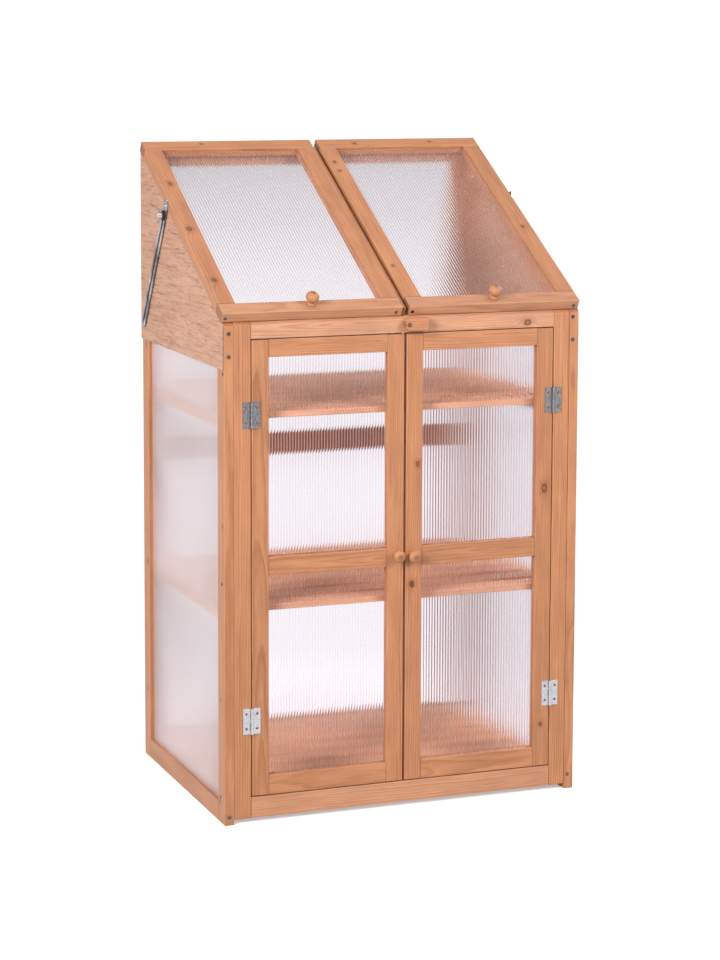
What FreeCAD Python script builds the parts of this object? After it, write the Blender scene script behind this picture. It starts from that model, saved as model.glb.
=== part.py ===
# Wooden mini greenhouse: a tall cold frame with a sloping two-lid top, two front doors, three slatted shelves and
# twin-wall glazing. One STEP file per named node, millimetres, Z up, origin under the middle of the part at the floor.
import FreeCAD, Part
import math
import os
from FreeCAD import Vector

os.makedirs("parts", exist_ok=True)

# ---------------------------------------------------------------- driving dimensions (mm)
HALF_W = 380.0          # half width over the posts
DEPTH = 560.0           # depth of the carcass, front face to back face
PANEL_T = 20.0          # thickness of every frame member
BOARD_T = 3.0           # plywood on the two gables
BOARD_INSET = 8.0       # the right gable board starts this far behind the front face
FRONT_H = 995.0         # slope line height at the front face
SLOPE = 0.55888         # rise per unit of depth
POST_D = 42.0           # depth of the posts
SIDE_BOTTOM_H = 40.0
WAIST_LOW, WAIST_TOP = 912.0, 950.0
GABLE_LOW = 910.0
SLOPE_RAIL = 36.0       # depth of the sloping rail, square to the slope
GLAZE_T = 4.0           # twin-wall sheet
GROOVE = 8.0            # depth of the glazing grooves
STILE_W = 35.0          # front and back frame stiles
FRAME_LOW = 11.0
FRONT_RISE = 1.15        # tops of the front frame above the slope line, for the lids to shut on
FRONT_TOP_LOW = 968.5
FRONT_BOTTOM_TOP = 53.0
BACK_MID_LOW, BACK_MID_TOP = 645.0, 691.0
BACK_TOP_LOW = 1274.0

DOOR_LOW, DOOR_TOP = 55.0, 966.5
DOOR_OUT, DOOR_IN = 323.0, 2.5
DOOR_STILE = 35.0
DOOR_BOTTOM, DOOR_MID_LOW, DOOR_MID_TOP, DOOR_TOP_LOW = 95.0, 497.0, 535.5, 931.5
KNOB_PROJECTION = 27.0

LID_T = 22.0
LID_GAP = 2.5           # lid underside above the slope line
LID_OUT, LID_IN = 385.0, 6.5
LID_OUT_RIGHT = 380.5   # the right lid ends flush with its post
LID_U0, LID_U1 = 9.5, 641.3
LID_STILE, LID_BOTTOM, LID_TOP = 37.0, 34.0, 33.0
LID_GLAZE_N = 13.0      # underside of the lid glazing above the slope line
LID_KNOB_R, LID_KNOB_U = 13.5, 29.1
TONGUE_U1 = 23.6        # from here up the tongue stands on the rafter

HINGE_LEN = 52.0
KNUCKLES = 5
BARREL_R = 3.0
PIN_R = 1.45
RUN = 0.05              # running clearance on a radius
DOOR_LEAF, DOOR_LEAF_T = 18.0, 1.4
DOOR_AXIS_X, DOOR_AXIS_Y = 324.0, -3.4
DOOR_HINGE_Z = (208.0, 819.0)
LID_AXIS_U, LID_AXIS_N = 645.2, 1.25
LID_LEAF, LID_LEAF_T = 25.0, 1.0
LID_HINGE_X = (90.0, 300.0)

STAY_Y, STAY_Z = 363.2, 1206.1      # stay pivot on the lid's side
STAY_ANGLE = 33.0                   # from the vertical, running down and back
STAY_UP, STAY_DOWN = 19.0, 322.0    # pivot to the upper and the lower point
STAY_W, STAY_T = 24.0, 1.8
STAY_X = 385.4                      # inner face of the bar
SLOT_W, SLOT_S0, SLOT_S1 = 9.0, 12.0, 306.0
BOLT_S = 26.0                       # clamp bolt, along the bar from the pivot
BOLT_R = 2.0

BUTTON_W, BUTTON_L, BUTTON_T = 25.0, 50.0, 17.0
BUTTON_X, BUTTON_Z, BUTTON_UP = 1.0, 986.0, 7.5

SLAT_W, SLAT_T, SLATS, SLAT_Y0, SLAT_PITCH = 50.0, 12.0, 8, 24.0, 66.0
SHELF_TOPS = (52.0, 435.0, 820.0)
BEARER_W, BEARER_H = 20.0, 25.0

RAFTER_W, RAFTER_D = 36.0, 22.0
TONGUE_X0, TONGUE_X1, TONGUE_N = -5.0, 0.0, 20.0

# ---------------------------------------------------------------- derived
COS = 1.0 / math.sqrt(1.0 + SLOPE * SLOPE)
SIN = SLOPE * COS
BACK_INNER = DEPTH - PANEL_T
LID_AXIS_Y = LID_AXIS_U * COS - LID_AXIS_N * SIN
LID_AXIS_Z = FRONT_H + LID_AXIS_U * SIN + LID_AXIS_N * COS
Y_SHIFT = -0.5 * (LID_AXIS_Y + BARREL_R - KNOB_PROJECTION)


def slope_z(y):
    return FRONT_H + SLOPE * y


def lid_yz(u, n):
    return u * COS - n * SIN, FRONT_H + u * SIN + n * COS


def box(x0, x1, y0, y1, z0, z1):
    return Part.makeBox(x1 - x0, y1 - y0, z1 - z0, Vector(x0, y0, z0))


def prism(points, x0, x1):
    wire = Part.makePolygon([Vector(x0, y, z) for y, z in points + points[:1]])
    return Part.Face(wire).extrude(Vector(x1 - x0, 0, 0))


def lid_box(x0, x1, u0, u1, n0, n1):
    return prism([lid_yz(u0, n0), lid_yz(u1, n0), lid_yz(u1, n1), lid_yz(u0, n1)], x0, x1)


def mirror(shape):
    return shape.mirror(Vector(0, 0, 0), Vector(1, 0, 0))


def both(shape):
    return [shape, mirror(shape)]


def revolve(points):
    wire = Part.makePolygon([Vector(r, 0, z) for r, z in points + points[:1]])
    return Part.Face(wire).revolve(Vector(0, 0, 0), Vector(0, 0, 1), 360)


def place(shape, at, direction):
    turned = shape.copy()
    turned.Placement = FreeCAD.Placement(Vector(*at), FreeCAD.Rotation(Vector(0, 0, 1), Vector(*direction)))
    return turned


def cut(shape, tools):
    for tool in tools:
        shape = shape.cut(tool)
    return shape


def screw_body(head_r, shank_r, length):
    drop = head_r - shank_r
    return revolve([(0, 0), (head_r, 0), (head_r, 0.25), (shank_r, 0.25 + drop), (shank_r, length - 1.6),
                    (0.4, length), (0, length)])


def screw(at, direction, head_r=4.1, shank_r=1.9, length=34.0):
    """A countersunk screw with a cross recess, and the solid that clears its hole."""
    body = screw_body(head_r, shank_r, length)
    arm, thick, deep = head_r * 0.62, head_r * 0.17, head_r * 0.3
    recess = box(-arm, arm, -thick, thick, -1, deep).fuse(box(-thick, thick, -arm, arm, -1, deep))
    return place(body.cut(recess), at, direction), place(body, at, direction)


def nail(at, direction, length=14.0):
    body = revolve([(0, 0), (1.6, 0), (1.6, 0.5), (0.8, 0.8), (0.8, length - 1.5), (0.1, length), (0, length)])
    return place(body, at, direction)


NODES = {}


def node(name, solids):
    out = []
    for solid in solids:
        moved = solid.copy()
        moved.translate(Vector(0, Y_SHIFT, 0))
        out += moved.Solids
    NODES[name] = out


# ---------------------------------------------------------------- fasteners of the carcass
side_screws, side_holes = [], []
for x, z in ((-370.0, 980.0), (-370.0, 935.0), (-370.0, 16.0), (367.0, 987.0), (367.0, 940.0), (367.0, 30.0)):
    s, h = screw((x, 0, z), (0, 1, 0))
    side_screws.append(s)
    side_holes.append(h)
for sign in (-1, 1):
    for y, z, length in ((8.0, 901.0, 38.0), (17.0, 484.0, 17.0), (26.0, 52.0, 17.0)):
        s, h = screw((sign * HALF_W, y, z), (-sign, 0, 0), length=length)
        side_screws.append(s)
        side_holes.append(h)

nails, nail_holes = [], []
for sign in (-1, 1):
    front_y = 4.0 if sign < 0 else 14.0
    for y, z, x in ((546.0, 914.0, HALF_W + BOARD_T), (front_y, 920.0, HALF_W + BOARD_T), (550.0, 859.0, HALF_W),
                    (30.0, 990.0, HALF_W + BOARD_T), (280.0, 1128.0, HALF_W + BOARD_T),
                    (540.0, 1270.0, HALF_W + BOARD_T), (280.0, 922.0, HALF_W + BOARD_T)):
        solid = nail((sign * x, y, z), (-sign, 0, 0))
        nails.append(solid)
        nail_holes.append(solid)

# ---------------------------------------------------------------- lid stays: bar, clamp bolt, clamp block, wing nut
DY, DZ = math.sin(math.radians(STAY_ANGLE)), -math.cos(math.radians(STAY_ANGLE))
BOLT_Y, BOLT_Z = STAY_Y + BOLT_S * DY, STAY_Z + BOLT_S * DZ


def on_bar(s, w):
    return STAY_Y + s * DY - w * DZ, STAY_Z + s * DZ + w * DY


def x_cyl(x0, x1, y, z, r):
    return Part.makeCylinder(r, abs(x1 - x0), Vector(min(x0, x1), y, z), Vector(1, 0, 0))


bar_outer = STAY_X + STAY_T
half = STAY_W / 2
bar = prism([on_bar(-STAY_UP, 0), on_bar(-STAY_UP + 13, half), on_bar(STAY_DOWN - 13, half), on_bar(STAY_DOWN, 0),
             on_bar(STAY_DOWN - 13, -half), on_bar(-STAY_UP + 13, -half)], -bar_outer, -STAY_X)
r = SLOT_W / 2
slot = prism([on_bar(SLOT_S0 + r, r), on_bar(SLOT_S1 - r, r), on_bar(SLOT_S1 - r, -r), on_bar(SLOT_S0 + r, -r)],
             -bar_outer - 1, -STAY_X + 1)
for s in (SLOT_S0 + r, SLOT_S1 - r):
    slot = slot.fuse(x_cyl(-bar_outer - 1, -STAY_X + 1, *on_bar(s, 0), r))
bar = cut(bar, [slot.removeSplitter(), x_cyl(-bar_outer - 1, -STAY_X + 1, STAY_Y, STAY_Z, BOLT_R + RUN)])

bolt_parts = [x_cyl(-402.0, -354.0, BOLT_Y, BOLT_Z, BOLT_R), x_cyl(-360.0, -356.0, BOLT_Y, BOLT_Z, 5.0),
              x_cyl(-385.0, -383.0, BOLT_Y, BOLT_Z, 4.6)]
bolt = bolt_parts[0].fuse(bolt_parts[1]).fuse(bolt_parts[2]).cut(box(-360, -350, BOLT_Y - 9, BOLT_Y + 9, BOLT_Z - 9,
                                                                    BOLT_Z + 9).cut(
    x_cyl(-361, -356, BOLT_Y, BOLT_Z, 5.0)))
bolt = bolt.removeSplitter()
bolt_hole = x_cyl(-403.0, -355.0, BOLT_Y, BOLT_Z, BOLT_R)

clamp = prism([on_bar(BOLT_S - 9, 7), on_bar(BOLT_S + 9, 7), on_bar(BOLT_S + 9, -7), on_bar(BOLT_S - 9, -7)],
              -391.2, -(bar_outer + 0.4))
edges = [e for e in clamp.Edges if abs(e.tangentAt(e.FirstParameter).x) > 0.99]
clamp = clamp.makeFillet(2.5, edges).cut(bolt_hole)

boss = revolve([(BOLT_R + RUN, 0), (5.6, 0), (5.6, 1.2), (4.4, 8.5), (BOLT_R + RUN, 8.5)])
wing_outline = [(4.0, 1.2), (9.0, 2.4), (14.4, 3.8), (16.4, 6.2), (16.0, 8.6), (13.6, 9.8), (10.4, 8.8), (7.4, 6.4),
                (4.0, 5.4)]
wing_nut = boss
for sign in (-1, 1):
    wire = Part.makePolygon([Vector(sign * rr, -1.1, zz) for rr, zz in wing_outline + wing_outline[:1]])
    wing_nut = wing_nut.fuse(Part.Face(wire).extrude(Vector(0, 2.2, 0)))
wing_nut = wing_nut.cut(Part.makeCylinder(BOLT_R + RUN, 12, Vector(0, 0, -1), Vector(0, 0, 1))).removeSplitter()
# local Z goes outward along -X, the wings stand up and down
wing_nut.Placement = FreeCAD.Placement(Vector(-391.6, BOLT_Y, BOLT_Z),
                                       FreeCAD.Rotation(Vector(0, 0, 1), Vector(0, -1, 0), Vector(-1, 0, 0), "ZYX"))

pivot = revolve([(0, 0), (2.4, 0), (3.3, 0.6), (3.6, 1.4), (3.6, 2.4), (BOLT_R, 2.4), (BOLT_R, 21.0), (0.4, 23.0),
                 (0, 23.0)])
pivot_recess = box(-2.3, 2.3, -0.6, 0.6, -1, 1.0).fuse(box(-0.6, 0.6, -2.3, 2.3, -1, 1.0))
pivot_at = (-(bar_outer + 0.4 + 2.4), STAY_Y, STAY_Z)
pivot_hole = place(pivot, pivot_at, (1, 0, 0))
pivot = place(pivot.cut(pivot_recess), pivot_at, (1, 0, 0))
# on the right the lid's side is further in, so that screw has a shoulder between the bar and the lid
shoulder_0 = 2.4 + 0.4 + STAY_T + 0.3
shoulder_1 = bar_outer + 0.4 + 2.4 - LID_OUT_RIGHT
right_pivot = revolve([(0, 0), (2.4, 0), (3.3, 0.6), (3.6, 1.4), (3.6, 2.4), (BOLT_R, 2.4), (BOLT_R, shoulder_0),
                       (3.6, shoulder_0), (3.6, shoulder_1), (BOLT_R, shoulder_1), (BOLT_R, 25.0), (0.4, 27.0),
                       (0, 27.0)])
right_pivot_at = (bar_outer + 0.4 + 2.4, STAY_Y, STAY_Z)
right_pivot_hole = place(right_pivot, right_pivot_at, (-1, 0, 0))
right_pivot = place(right_pivot.cut(pivot_recess), right_pivot_at, (-1, 0, 0))

# ---------------------------------------------------------------- side panels
holes = side_holes + nail_holes + [bolt_hole, mirror(bolt_hole)]
xi, xo = HALF_W - PANEL_T, HALF_W
gx0, gx1 = HALF_W - PANEL_T / 2 - GLAZE_T / 2, HALF_W - PANEL_T / 2 + GLAZE_T / 2
sheet_y0, sheet_y1 = POST_D - GROOVE, DEPTH - POST_D + GROOVE
sheet_z0, sheet_z1 = SIDE_BOTTOM_H - GROOVE, WAIST_LOW + GROOVE
for sign, side in ((-1, "left"), (1, "right")):
    def sided(shape):
        return shape if sign > 0 else mirror(shape)
    sheet = sided(box(gx0, gx1, sheet_y0, sheet_y1, sheet_z0, sheet_z1))
    tools = holes + [sheet]
    front = sided(prism([(0, 0), (POST_D, 0), (POST_D, slope_z(POST_D)), (0, slope_z(0))], xi, xo))
    rear = sided(prism([(DEPTH - POST_D, 0), (DEPTH, 0), (DEPTH, slope_z(DEPTH)),
                        (DEPTH - POST_D, slope_z(DEPTH - POST_D))], xi, xo))
    rails = [box(xi, xo, POST_D, DEPTH - POST_D, 0, SIDE_BOTTOM_H),
             box(xi, xo, POST_D, DEPTH - POST_D, WAIST_LOW, WAIST_TOP)]
    drop = SLOPE_RAIL / COS
    rails.append(prism([(POST_D, slope_z(POST_D) - drop), (DEPTH - POST_D, slope_z(DEPTH - POST_D) - drop),
                        (DEPTH - POST_D, slope_z(DEPTH - POST_D)), (POST_D, slope_z(POST_D))], xi, xo))
    node(side + "_front_post", [cut(front, tools)])
    node(side + "_rear_post", [cut(rear, tools)])
    node(side + "_side_rails", [cut(sided(r_), tools) for r_ in rails])
    board_y = BOARD_INSET if sign > 0 else 0.0
    board = sided(prism([(board_y, GABLE_LOW), (DEPTH, GABLE_LOW), (DEPTH, slope_z(DEPTH)),
                         (board_y, slope_z(board_y))], xo, xo + BOARD_T))
    node(side + "_gable_board", [cut(board, holes)])
node("side_glazing", both(box(-gx1, -gx0, sheet_y0, sheet_y1, sheet_z0, sheet_z1)))

# ---------------------------------------------------------------- butt hinges
zone = HINGE_LEN / KNUCKLES


def zones(first):
    out = []
    for i in range(first, KNUCKLES, 2):
        z0, z1 = -HINGE_LEN / 2 + i * zone, -HINGE_LEN / 2 + (i + 1) * zone
        out.append((z0 + (0.15 if i else 0), z1 - (0.15 if i < KNUCKLES - 1 else 0)))
    return out


def leaf(direction, width, y0, y1, first, bore, screw_z=(), screw_x=0.0, face=1):
    """A hinge leaf about the local Z axis; direction is the side of the axis that its plate lies on."""
    own, other = zones(first), zones(1 - first)
    xa, xb = sorted((0.0, direction * width))
    plate = box(xa, xb, y0, y1, -HINGE_LEN / 2, HINGE_LEN / 2)
    keep = BARREL_R + 0.35
    for z0, z1 in other:
        xa, xb = sorted((-direction * 0.5, direction * keep))
        plate = plate.cut(box(xa, xb, y0 - 1, y1 + 1, z0 - 0.3, z1 + 0.3))
    for z0, z1 in own:
        plate = plate.fuse(Part.makeCylinder(BARREL_R, z1 - z0, Vector(0, 0, z0)))
    plate = plate.cut(Part.makeCylinder(bore, HINGE_LEN + 2, Vector(0, 0, -HINGE_LEN / 2 - 1)))
    screws = []
    for z in screw_z:
        at = (direction * screw_x, y0 if face > 0 else y1, z)
        s, h = screw(at, (0, face, 0), head_r=2.9, shank_r=1.3, length=13.0)
        plate = plate.cut(h)
        screws.append((s, h))
    return plate.removeSplitter(), screws


def door_hinge(z):
    """Left-hand hinge: frame leaf on -X, door leaf on +X, pin, screws."""
    y1 = -DOOR_AXIS_Y
    y0 = y1 - DOOR_LEAF_T
    frame_leaf, frame_screws_ = leaf(-1, DOOR_LEAF, y0, y1, 0, PIN_R, (-15.0, 15.0), 11.2)
    door_leaf, door_screws_ = leaf(1, DOOR_LEAF, y0, y1, 1, PIN_R + RUN, (-15.0, 15.0), 11.2)
    pin = Part.makeCylinder(PIN_R, HINGE_LEN, Vector(0, 0, -HINGE_LEN / 2))
    move = Vector(-DOOR_AXIS_X, DOOR_AXIS_Y, z)

    def moved(shape):
        shape = shape.copy()
        shape.translate(move)
        return shape
    return ([moved(frame_leaf), moved(pin)], [moved(door_leaf)], [(moved(s), moved(h)) for s, h in frame_screws_],
            [(moved(s), moved(h)) for s, h in door_screws_])


frame_leaves, door_leaves, frame_leaf_screws, door_leaf_screws = [], [], [], []
for z in DOOR_HINGE_Z:
    a, b, c, d = door_hinge(z)
    frame_leaves += a
    door_leaves += b
    frame_leaf_screws += c
    door_leaf_screws += d
node("door_hinge_frame_leaves", frame_leaves + [mirror(s) for s in frame_leaves])
node("left_door_hinge_leaves", door_leaves)
node("right_door_hinge_leaves", [mirror(s) for s in door_leaves])
node("door_hinge_frame_screws", [s for s, h in frame_leaf_screws] + [mirror(s) for s, h in frame_leaf_screws])
node("left_door_hinge_screws", [s for s, h in door_leaf_screws])
node("right_door_hinge_screws", [mirror(s) for s, h in door_leaf_screws])
frame_leaf_holes = [h for s, h in frame_leaf_screws]
door_leaf_holes = [h for s, h in door_leaf_screws]

# lid hinges lie folded between the rear rail and the lid; local X runs down the slope, local Y is the normal
lid_frame_leaf, lid_frame_screws = leaf(1, LID_LEAF, -LID_AXIS_N, -LID_AXIS_N + LID_LEAF_T, 0, PIN_R,
                                        (-16.0, 0.0, 16.0), 14.5, face=-1)
top = LID_GAP - LID_AXIS_N
lid_leaf, lid_leaf_screws = leaf(1, LID_LEAF, top - LID_LEAF_T, top, 1, PIN_R + RUN, (-16.0, 0.0, 16.0), 14.5)
lid_pin = Part.makeCylinder(PIN_R, HINGE_LEN, Vector(0, 0, -HINGE_LEN / 2))


def on_lid_axis(shape, x):
    """Local X to down-slope, local Y to the slope's normal, local Z to -X of the part."""
    down, normal = Vector(0, -COS, -SIN), Vector(0, -SIN, COS)
    side = down.cross(normal)
    m = FreeCAD.Matrix(down.x, normal.x, side.x, x, down.y, normal.y, side.y, LID_AXIS_Y, down.z, normal.z, side.z,
                       LID_AXIS_Z, 0, 0, 0, 1)
    out = shape.copy()
    out.Placement = FreeCAD.Placement(m).multiply(out.Placement)
    return out


lid_frame_parts, lid_parts, lid_frame_holes, lid_holes = [], [], [], []
for x in LID_HINGE_X:
    lid_frame_parts += [on_lid_axis(s, -x) for s in [lid_frame_leaf, lid_pin] + [s for s, h in lid_frame_screws]]
    lid_parts += [on_lid_axis(s, -x) for s in [lid_leaf] + [s for s, h in lid_leaf_screws]]
    lid_frame_holes += [on_lid_axis(h, -x) for s, h in lid_frame_screws]
    lid_holes += [on_lid_axis(h, -x) for s, h in lid_leaf_screws]
node("lid_hinge_frame_leaves", lid_frame_parts + [mirror(s) for s in lid_frame_parts])
node("left_lid_hinge_leaves", lid_parts)
node("right_lid_hinge_leaves", [mirror(s) for s in lid_parts])

# ---------------------------------------------------------------- front frame
button_screw = revolve([(0, 0), (2.6, 0), (4.2, 0.8), (4.6, 1.7), (4.6, 2.2), (BOLT_R, 2.2), (BOLT_R, 34.0),
                        (0.4, 36.0), (0, 36.0)])
button_at = (BUTTON_X, -(BUTTON_T + 0.3 + 0.3 + 2.2), BUTTON_Z)
button_hole = place(button_screw, button_at, (0, 1, 0))
button_screw = place(button_screw.cut(pivot_recess), button_at, (0, 1, 0))

inner = xi - STILE_W


def front_member(x0, x1, z0):
    return prism([(0, z0), (PANEL_T, z0), (PANEL_T, slope_z(PANEL_T) + FRONT_RISE), (0, FRONT_H + FRONT_RISE)], x0, x1)


stile = cut(front_member(-xi, -inner, FRAME_LOW), side_holes + frame_leaf_holes)
right_stile = cut(front_member(inner, xi, FRAME_LOW), side_holes + [mirror(h) for h in frame_leaf_holes])
node("front_stiles", [stile, right_stile])
node("front_top_rail", [front_member(-inner, inner, FRONT_TOP_LOW).cut(button_hole)])
node("front_bottom_rail", [box(-inner, inner, 0, PANEL_T, FRAME_LOW, FRONT_BOTTOM_TOP)])
node("frame_screws", side_screws + [button_screw])
node("gable_nails", nails)

# ---------------------------------------------------------------- back frame
gy0, gy1 = BACK_INNER + PANEL_T / 2 - GLAZE_T / 2, BACK_INNER + PANEL_T / 2 + GLAZE_T / 2
back_sheets = [box(-inner - GROOVE, inner + GROOVE, gy0, gy1, FRONT_BOTTOM_TOP - GROOVE, BACK_MID_LOW + GROOVE),
               box(-inner - GROOVE, inner + GROOVE, gy0, gy1, BACK_MID_TOP - GROOVE, BACK_TOP_LOW + GROOVE)]
back_profile = [(BACK_INNER, FRAME_LOW), (DEPTH, FRAME_LOW), (DEPTH, slope_z(DEPTH)), (BACK_INNER,
                                                                                    slope_z(BACK_INNER))]
back_stile = cut(prism(back_profile, -xi, -inner), back_sheets)
top_rail = prism([(BACK_INNER, BACK_TOP_LOW), (DEPTH, BACK_TOP_LOW), (DEPTH, slope_z(DEPTH)),
                  (BACK_INNER, slope_z(BACK_INNER))], -inner, inner)
lid_frame_holes += [mirror(h) for h in lid_frame_holes]
node("back_stiles", both(cut(back_stile, lid_frame_holes)))
node("back_rails", [cut(box(-inner, inner, BACK_INNER, DEPTH, FRAME_LOW, FRONT_BOTTOM_TOP), back_sheets),
                    cut(box(-inner, inner, BACK_INNER, DEPTH, BACK_MID_LOW, BACK_MID_TOP), back_sheets),
                    cut(top_rail, back_sheets + lid_frame_holes)])
node("back_glazing", back_sheets)

# ---------------------------------------------------------------- centre rafter with the tongue that parts the lids
rafter_drop = RAFTER_D / COS
rafter = prism([(PANEL_T, slope_z(PANEL_T)), (PANEL_T, slope_z(PANEL_T) - rafter_drop),
                (BACK_INNER, slope_z(BACK_INNER) - rafter_drop), (BACK_INNER, slope_z(BACK_INNER))],
               -RAFTER_W / 2, RAFTER_W / 2)
tongue = lid_box(TONGUE_X0, TONGUE_X1, TONGUE_U1, (BACK_INNER - 1.0) / COS, 0, TONGUE_N)
tongue_nose = lid_box(TONGUE_X0, TONGUE_X1, LID_U0 + 1.5, TONGUE_U1 + 0.5, FRONT_RISE * COS, TONGUE_N)
node("centre_rafter", [rafter.fuse([tongue, tongue_nose]).removeSplitter()])

# ---------------------------------------------------------------- shelves
for name, z in zip(("bottom", "middle", "top"), SHELF_TOPS):
    node(name + "_shelf_slats", [box(-xi + 1, xi - 1, SLAT_Y0 + i * SLAT_PITCH, SLAT_Y0 + i * SLAT_PITCH + SLAT_W,
                                     z - SLAT_T, z) for i in range(SLATS)])
bearers = []
for z in SHELF_TOPS:
    bearers += both(cut(box(-xi, -xi + BEARER_W, PANEL_T, BACK_INNER, z - SLAT_T - BEARER_H, z - SLAT_T), side_holes))
node("shelf_bearers", bearers)

# ---------------------------------------------------------------- doors
door_inner_x0, door_inner_x1 = -DOOR_OUT + DOOR_STILE, -DOOR_IN - DOOR_STILE
door_gy0, door_gy1 = PANEL_T / 2 - GLAZE_T / 2, PANEL_T / 2 + GLAZE_T / 2
door_sheets = [box(door_inner_x0 - GROOVE, door_inner_x1 + GROOVE, door_gy0, door_gy1, DOOR_BOTTOM - GROOVE,
                   DOOR_MID_LOW + GROOVE),
               box(door_inner_x0 - GROOVE, door_inner_x1 + GROOVE, door_gy0, door_gy1, DOOR_MID_TOP - GROOVE,
                   DOOR_TOP_LOW + GROOVE)]


def arc(a, b, c):
    return Part.Arc(Vector(a[0], 0, a[1]), Vector(b[0], 0, b[1]), Vector(c[0], 0, c[1])).toShape()


def line(a, b):
    return Part.makeLine(Vector(a[0], 0, a[1]), Vector(b[0], 0, b[1]))


def turned_knob(edges_):
    return Part.Face(Part.Wire(edges_)).revolve(Vector(0, 0, 0), Vector(0, 0, 1), 360)


k = KNOB_PROJECTION
door_knob = turned_knob([line((0, 0), (7.4, 0)), arc((7.4, 0), (5.6, 6.0), (7.2, k - 13.6)),
                         line((7.2, k - 13.6), (11.2, k - 11.6)),
                         arc((11.2, k - 11.6), (12.5, k - 8.8), (11.4, k - 5.6)),
                         arc((11.4, k - 5.6), (7.0, k - 1.6), (1.2, k)), line((1.2, k), (0, k)),
                         line((0, k), (0, 0))])


def door_wood(shapes, x, z):
    base = place(Part.makeCylinder(2.0, 18, Vector(0, 0, 0)), (x, 0, z), (0, 1, 0))
    return [cut(s, door_sheets + door_leaf_holes) for s in shapes], base


stiles = [box(-DOOR_OUT, door_inner_x0, 0, PANEL_T, DOOR_LOW, DOOR_TOP),
          box(door_inner_x1, -DOOR_IN, 0, PANEL_T, DOOR_LOW, DOOR_TOP)]
rails = [box(door_inner_x0, door_inner_x1, 0, PANEL_T, z0, z1)
         for z0, z1 in ((DOOR_LOW, DOOR_BOTTOM), (DOOR_MID_LOW, DOOR_MID_TOP), (DOOR_TOP_LOW, DOOR_TOP))]
stiles, _ = door_wood(stiles, 0, 0)
rails, _ = door_wood(rails, 0, 0)
node("left_door_stiles", stiles)
node("left_door_rails", rails)
node("left_door_glazing", door_sheets)
node("left_door_knob", [place(door_knob, (-18.0, 0, 521.0), (0, -1, 0))])
node("right_door_stiles", [mirror(s) for s in stiles])
node("right_door_rails", [mirror(s) for s in rails])
node("right_door_glazing", [mirror(s) for s in door_sheets])
node("right_door_knob", [place(door_knob, (15.0, 0, 518.0), (0, -1, 0))])

# ---------------------------------------------------------------- turn button, turned aside: its long end points to +X
up, w = BUTTON_UP, BUTTON_W / 2
low = BUTTON_L - BUTTON_UP
edge_x = BUTTON_X - up + 5.0
outline = [Part.makeLine(Vector(edge_x, 0, BUTTON_Z - w), Vector(BUTTON_X + low, 0, BUTTON_Z - w)),
           Part.makeLine(Vector(BUTTON_X + low, 0, BUTTON_Z - w), Vector(BUTTON_X + low, 0, BUTTON_Z + w)),
           Part.makeLine(Vector(BUTTON_X + low, 0, BUTTON_Z + w), Vector(edge_x, 0, BUTTON_Z + w)),
           Part.Arc(Vector(edge_x, 0, BUTTON_Z + w), Vector(BUTTON_X - up, 0, BUTTON_Z),
                    Vector(edge_x, 0, BUTTON_Z - w)).toShape()]
button = Part.Face(Part.Wire(outline)).extrude(Vector(0, BUTTON_T, 0))
button.translate(Vector(0, -BUTTON_T - 0.3, 0))
button = button.cut(Part.makeCylinder(BOLT_R + RUN, 30, Vector(BUTTON_X, -25, BUTTON_Z), Vector(0, 1, 0)))
node("turn_button", [button])

# ---------------------------------------------------------------- lids
lid_u0, lid_u1 = LID_U0 + LID_BOTTOM, LID_U1 - LID_TOP
nose_dir = (0, COS, SIN)


def lid_screw(x):
    y, z = lid_yz(LID_U0, 11.3)
    return screw((x, y, z), nose_dir, head_r=3.4, shank_r=1.7, length=40.0)


head = LID_KNOB_R
lid_knob = turned_knob([line((0, 0), (8.4, 0)), arc((8.4, 0), (9.2, 1.8), (8.2, 3.4)),
                        arc((8.2, 3.4), (6.9, 6.6), (8.6, 9.8)), arc((8.6, 9.8), (head, 18.2), (8.0, 26.6)),
                        arc((8.0, 26.6), (4.6, 28.6), (1.0, 29.4)), line((1.0, 29.4), (0, 29.4)),
                        line((0, 29.4), (0, 0))])
knob_y, knob_z = lid_yz(LID_KNOB_U, LID_GAP + LID_T)
for sign, side, screw_x in ((-1, "left", (-376.0, -20.0)), (1, "right", (15.0, 369.0))):
    def sided(shape):
        return shape if sign < 0 else mirror(shape)
    out = LID_OUT if sign < 0 else LID_OUT_RIGHT
    lid_x0, lid_x1 = -out + LID_STILE, -LID_IN - LID_STILE
    lid_sheet = lid_box(lid_x0 - GROOVE, lid_x1 + GROOVE, lid_u0 - GROOVE, lid_u1 + GROOVE, LID_GLAZE_N,
                        LID_GLAZE_N + GLAZE_T)
    screws_, holes_ = [], []
    for x in screw_x:
        s, h = lid_screw(x)
        screws_.append(s)
        holes_.append(h)
    tools = holes_ + [sided(lid_sheet), pivot_hole, right_pivot_hole] + [sided(h) for h in lid_holes]
    stiles = [lid_box(-out, lid_x0, lid_u0, lid_u1, LID_GAP, LID_GAP + LID_T),
              lid_box(lid_x1, -LID_IN, lid_u0, lid_u1, LID_GAP, LID_GAP + LID_T)]
    rails = [lid_box(-out, -LID_IN, LID_U0, lid_u0, LID_GAP, LID_GAP + LID_T),
             lid_box(-out, -LID_IN, lid_u1, LID_U1, LID_GAP, LID_GAP + LID_T)]
    node(side + "_lid_stiles", [cut(sided(s), tools) for s in stiles])
    node(side + "_lid_rails", [cut(sided(s), tools) for s in rails])
    node(side + "_lid_glazing", [sided(lid_sheet)])
    node(side + "_lid_knob", [place(lid_knob, (sign * (LID_OUT + LID_IN) / 2, knob_y, knob_z), (0, -SIN, COS))])
    node(side + "_lid_screws", screws_)
    node(side + "_stay_pivot_screw", [pivot if sign < 0 else right_pivot])
    node(side + "_stay_bar", [sided(bar)])
    node(side + "_wing_nut", [sided(wing_nut)])
node("stay_bolts", both(bolt))
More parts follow.
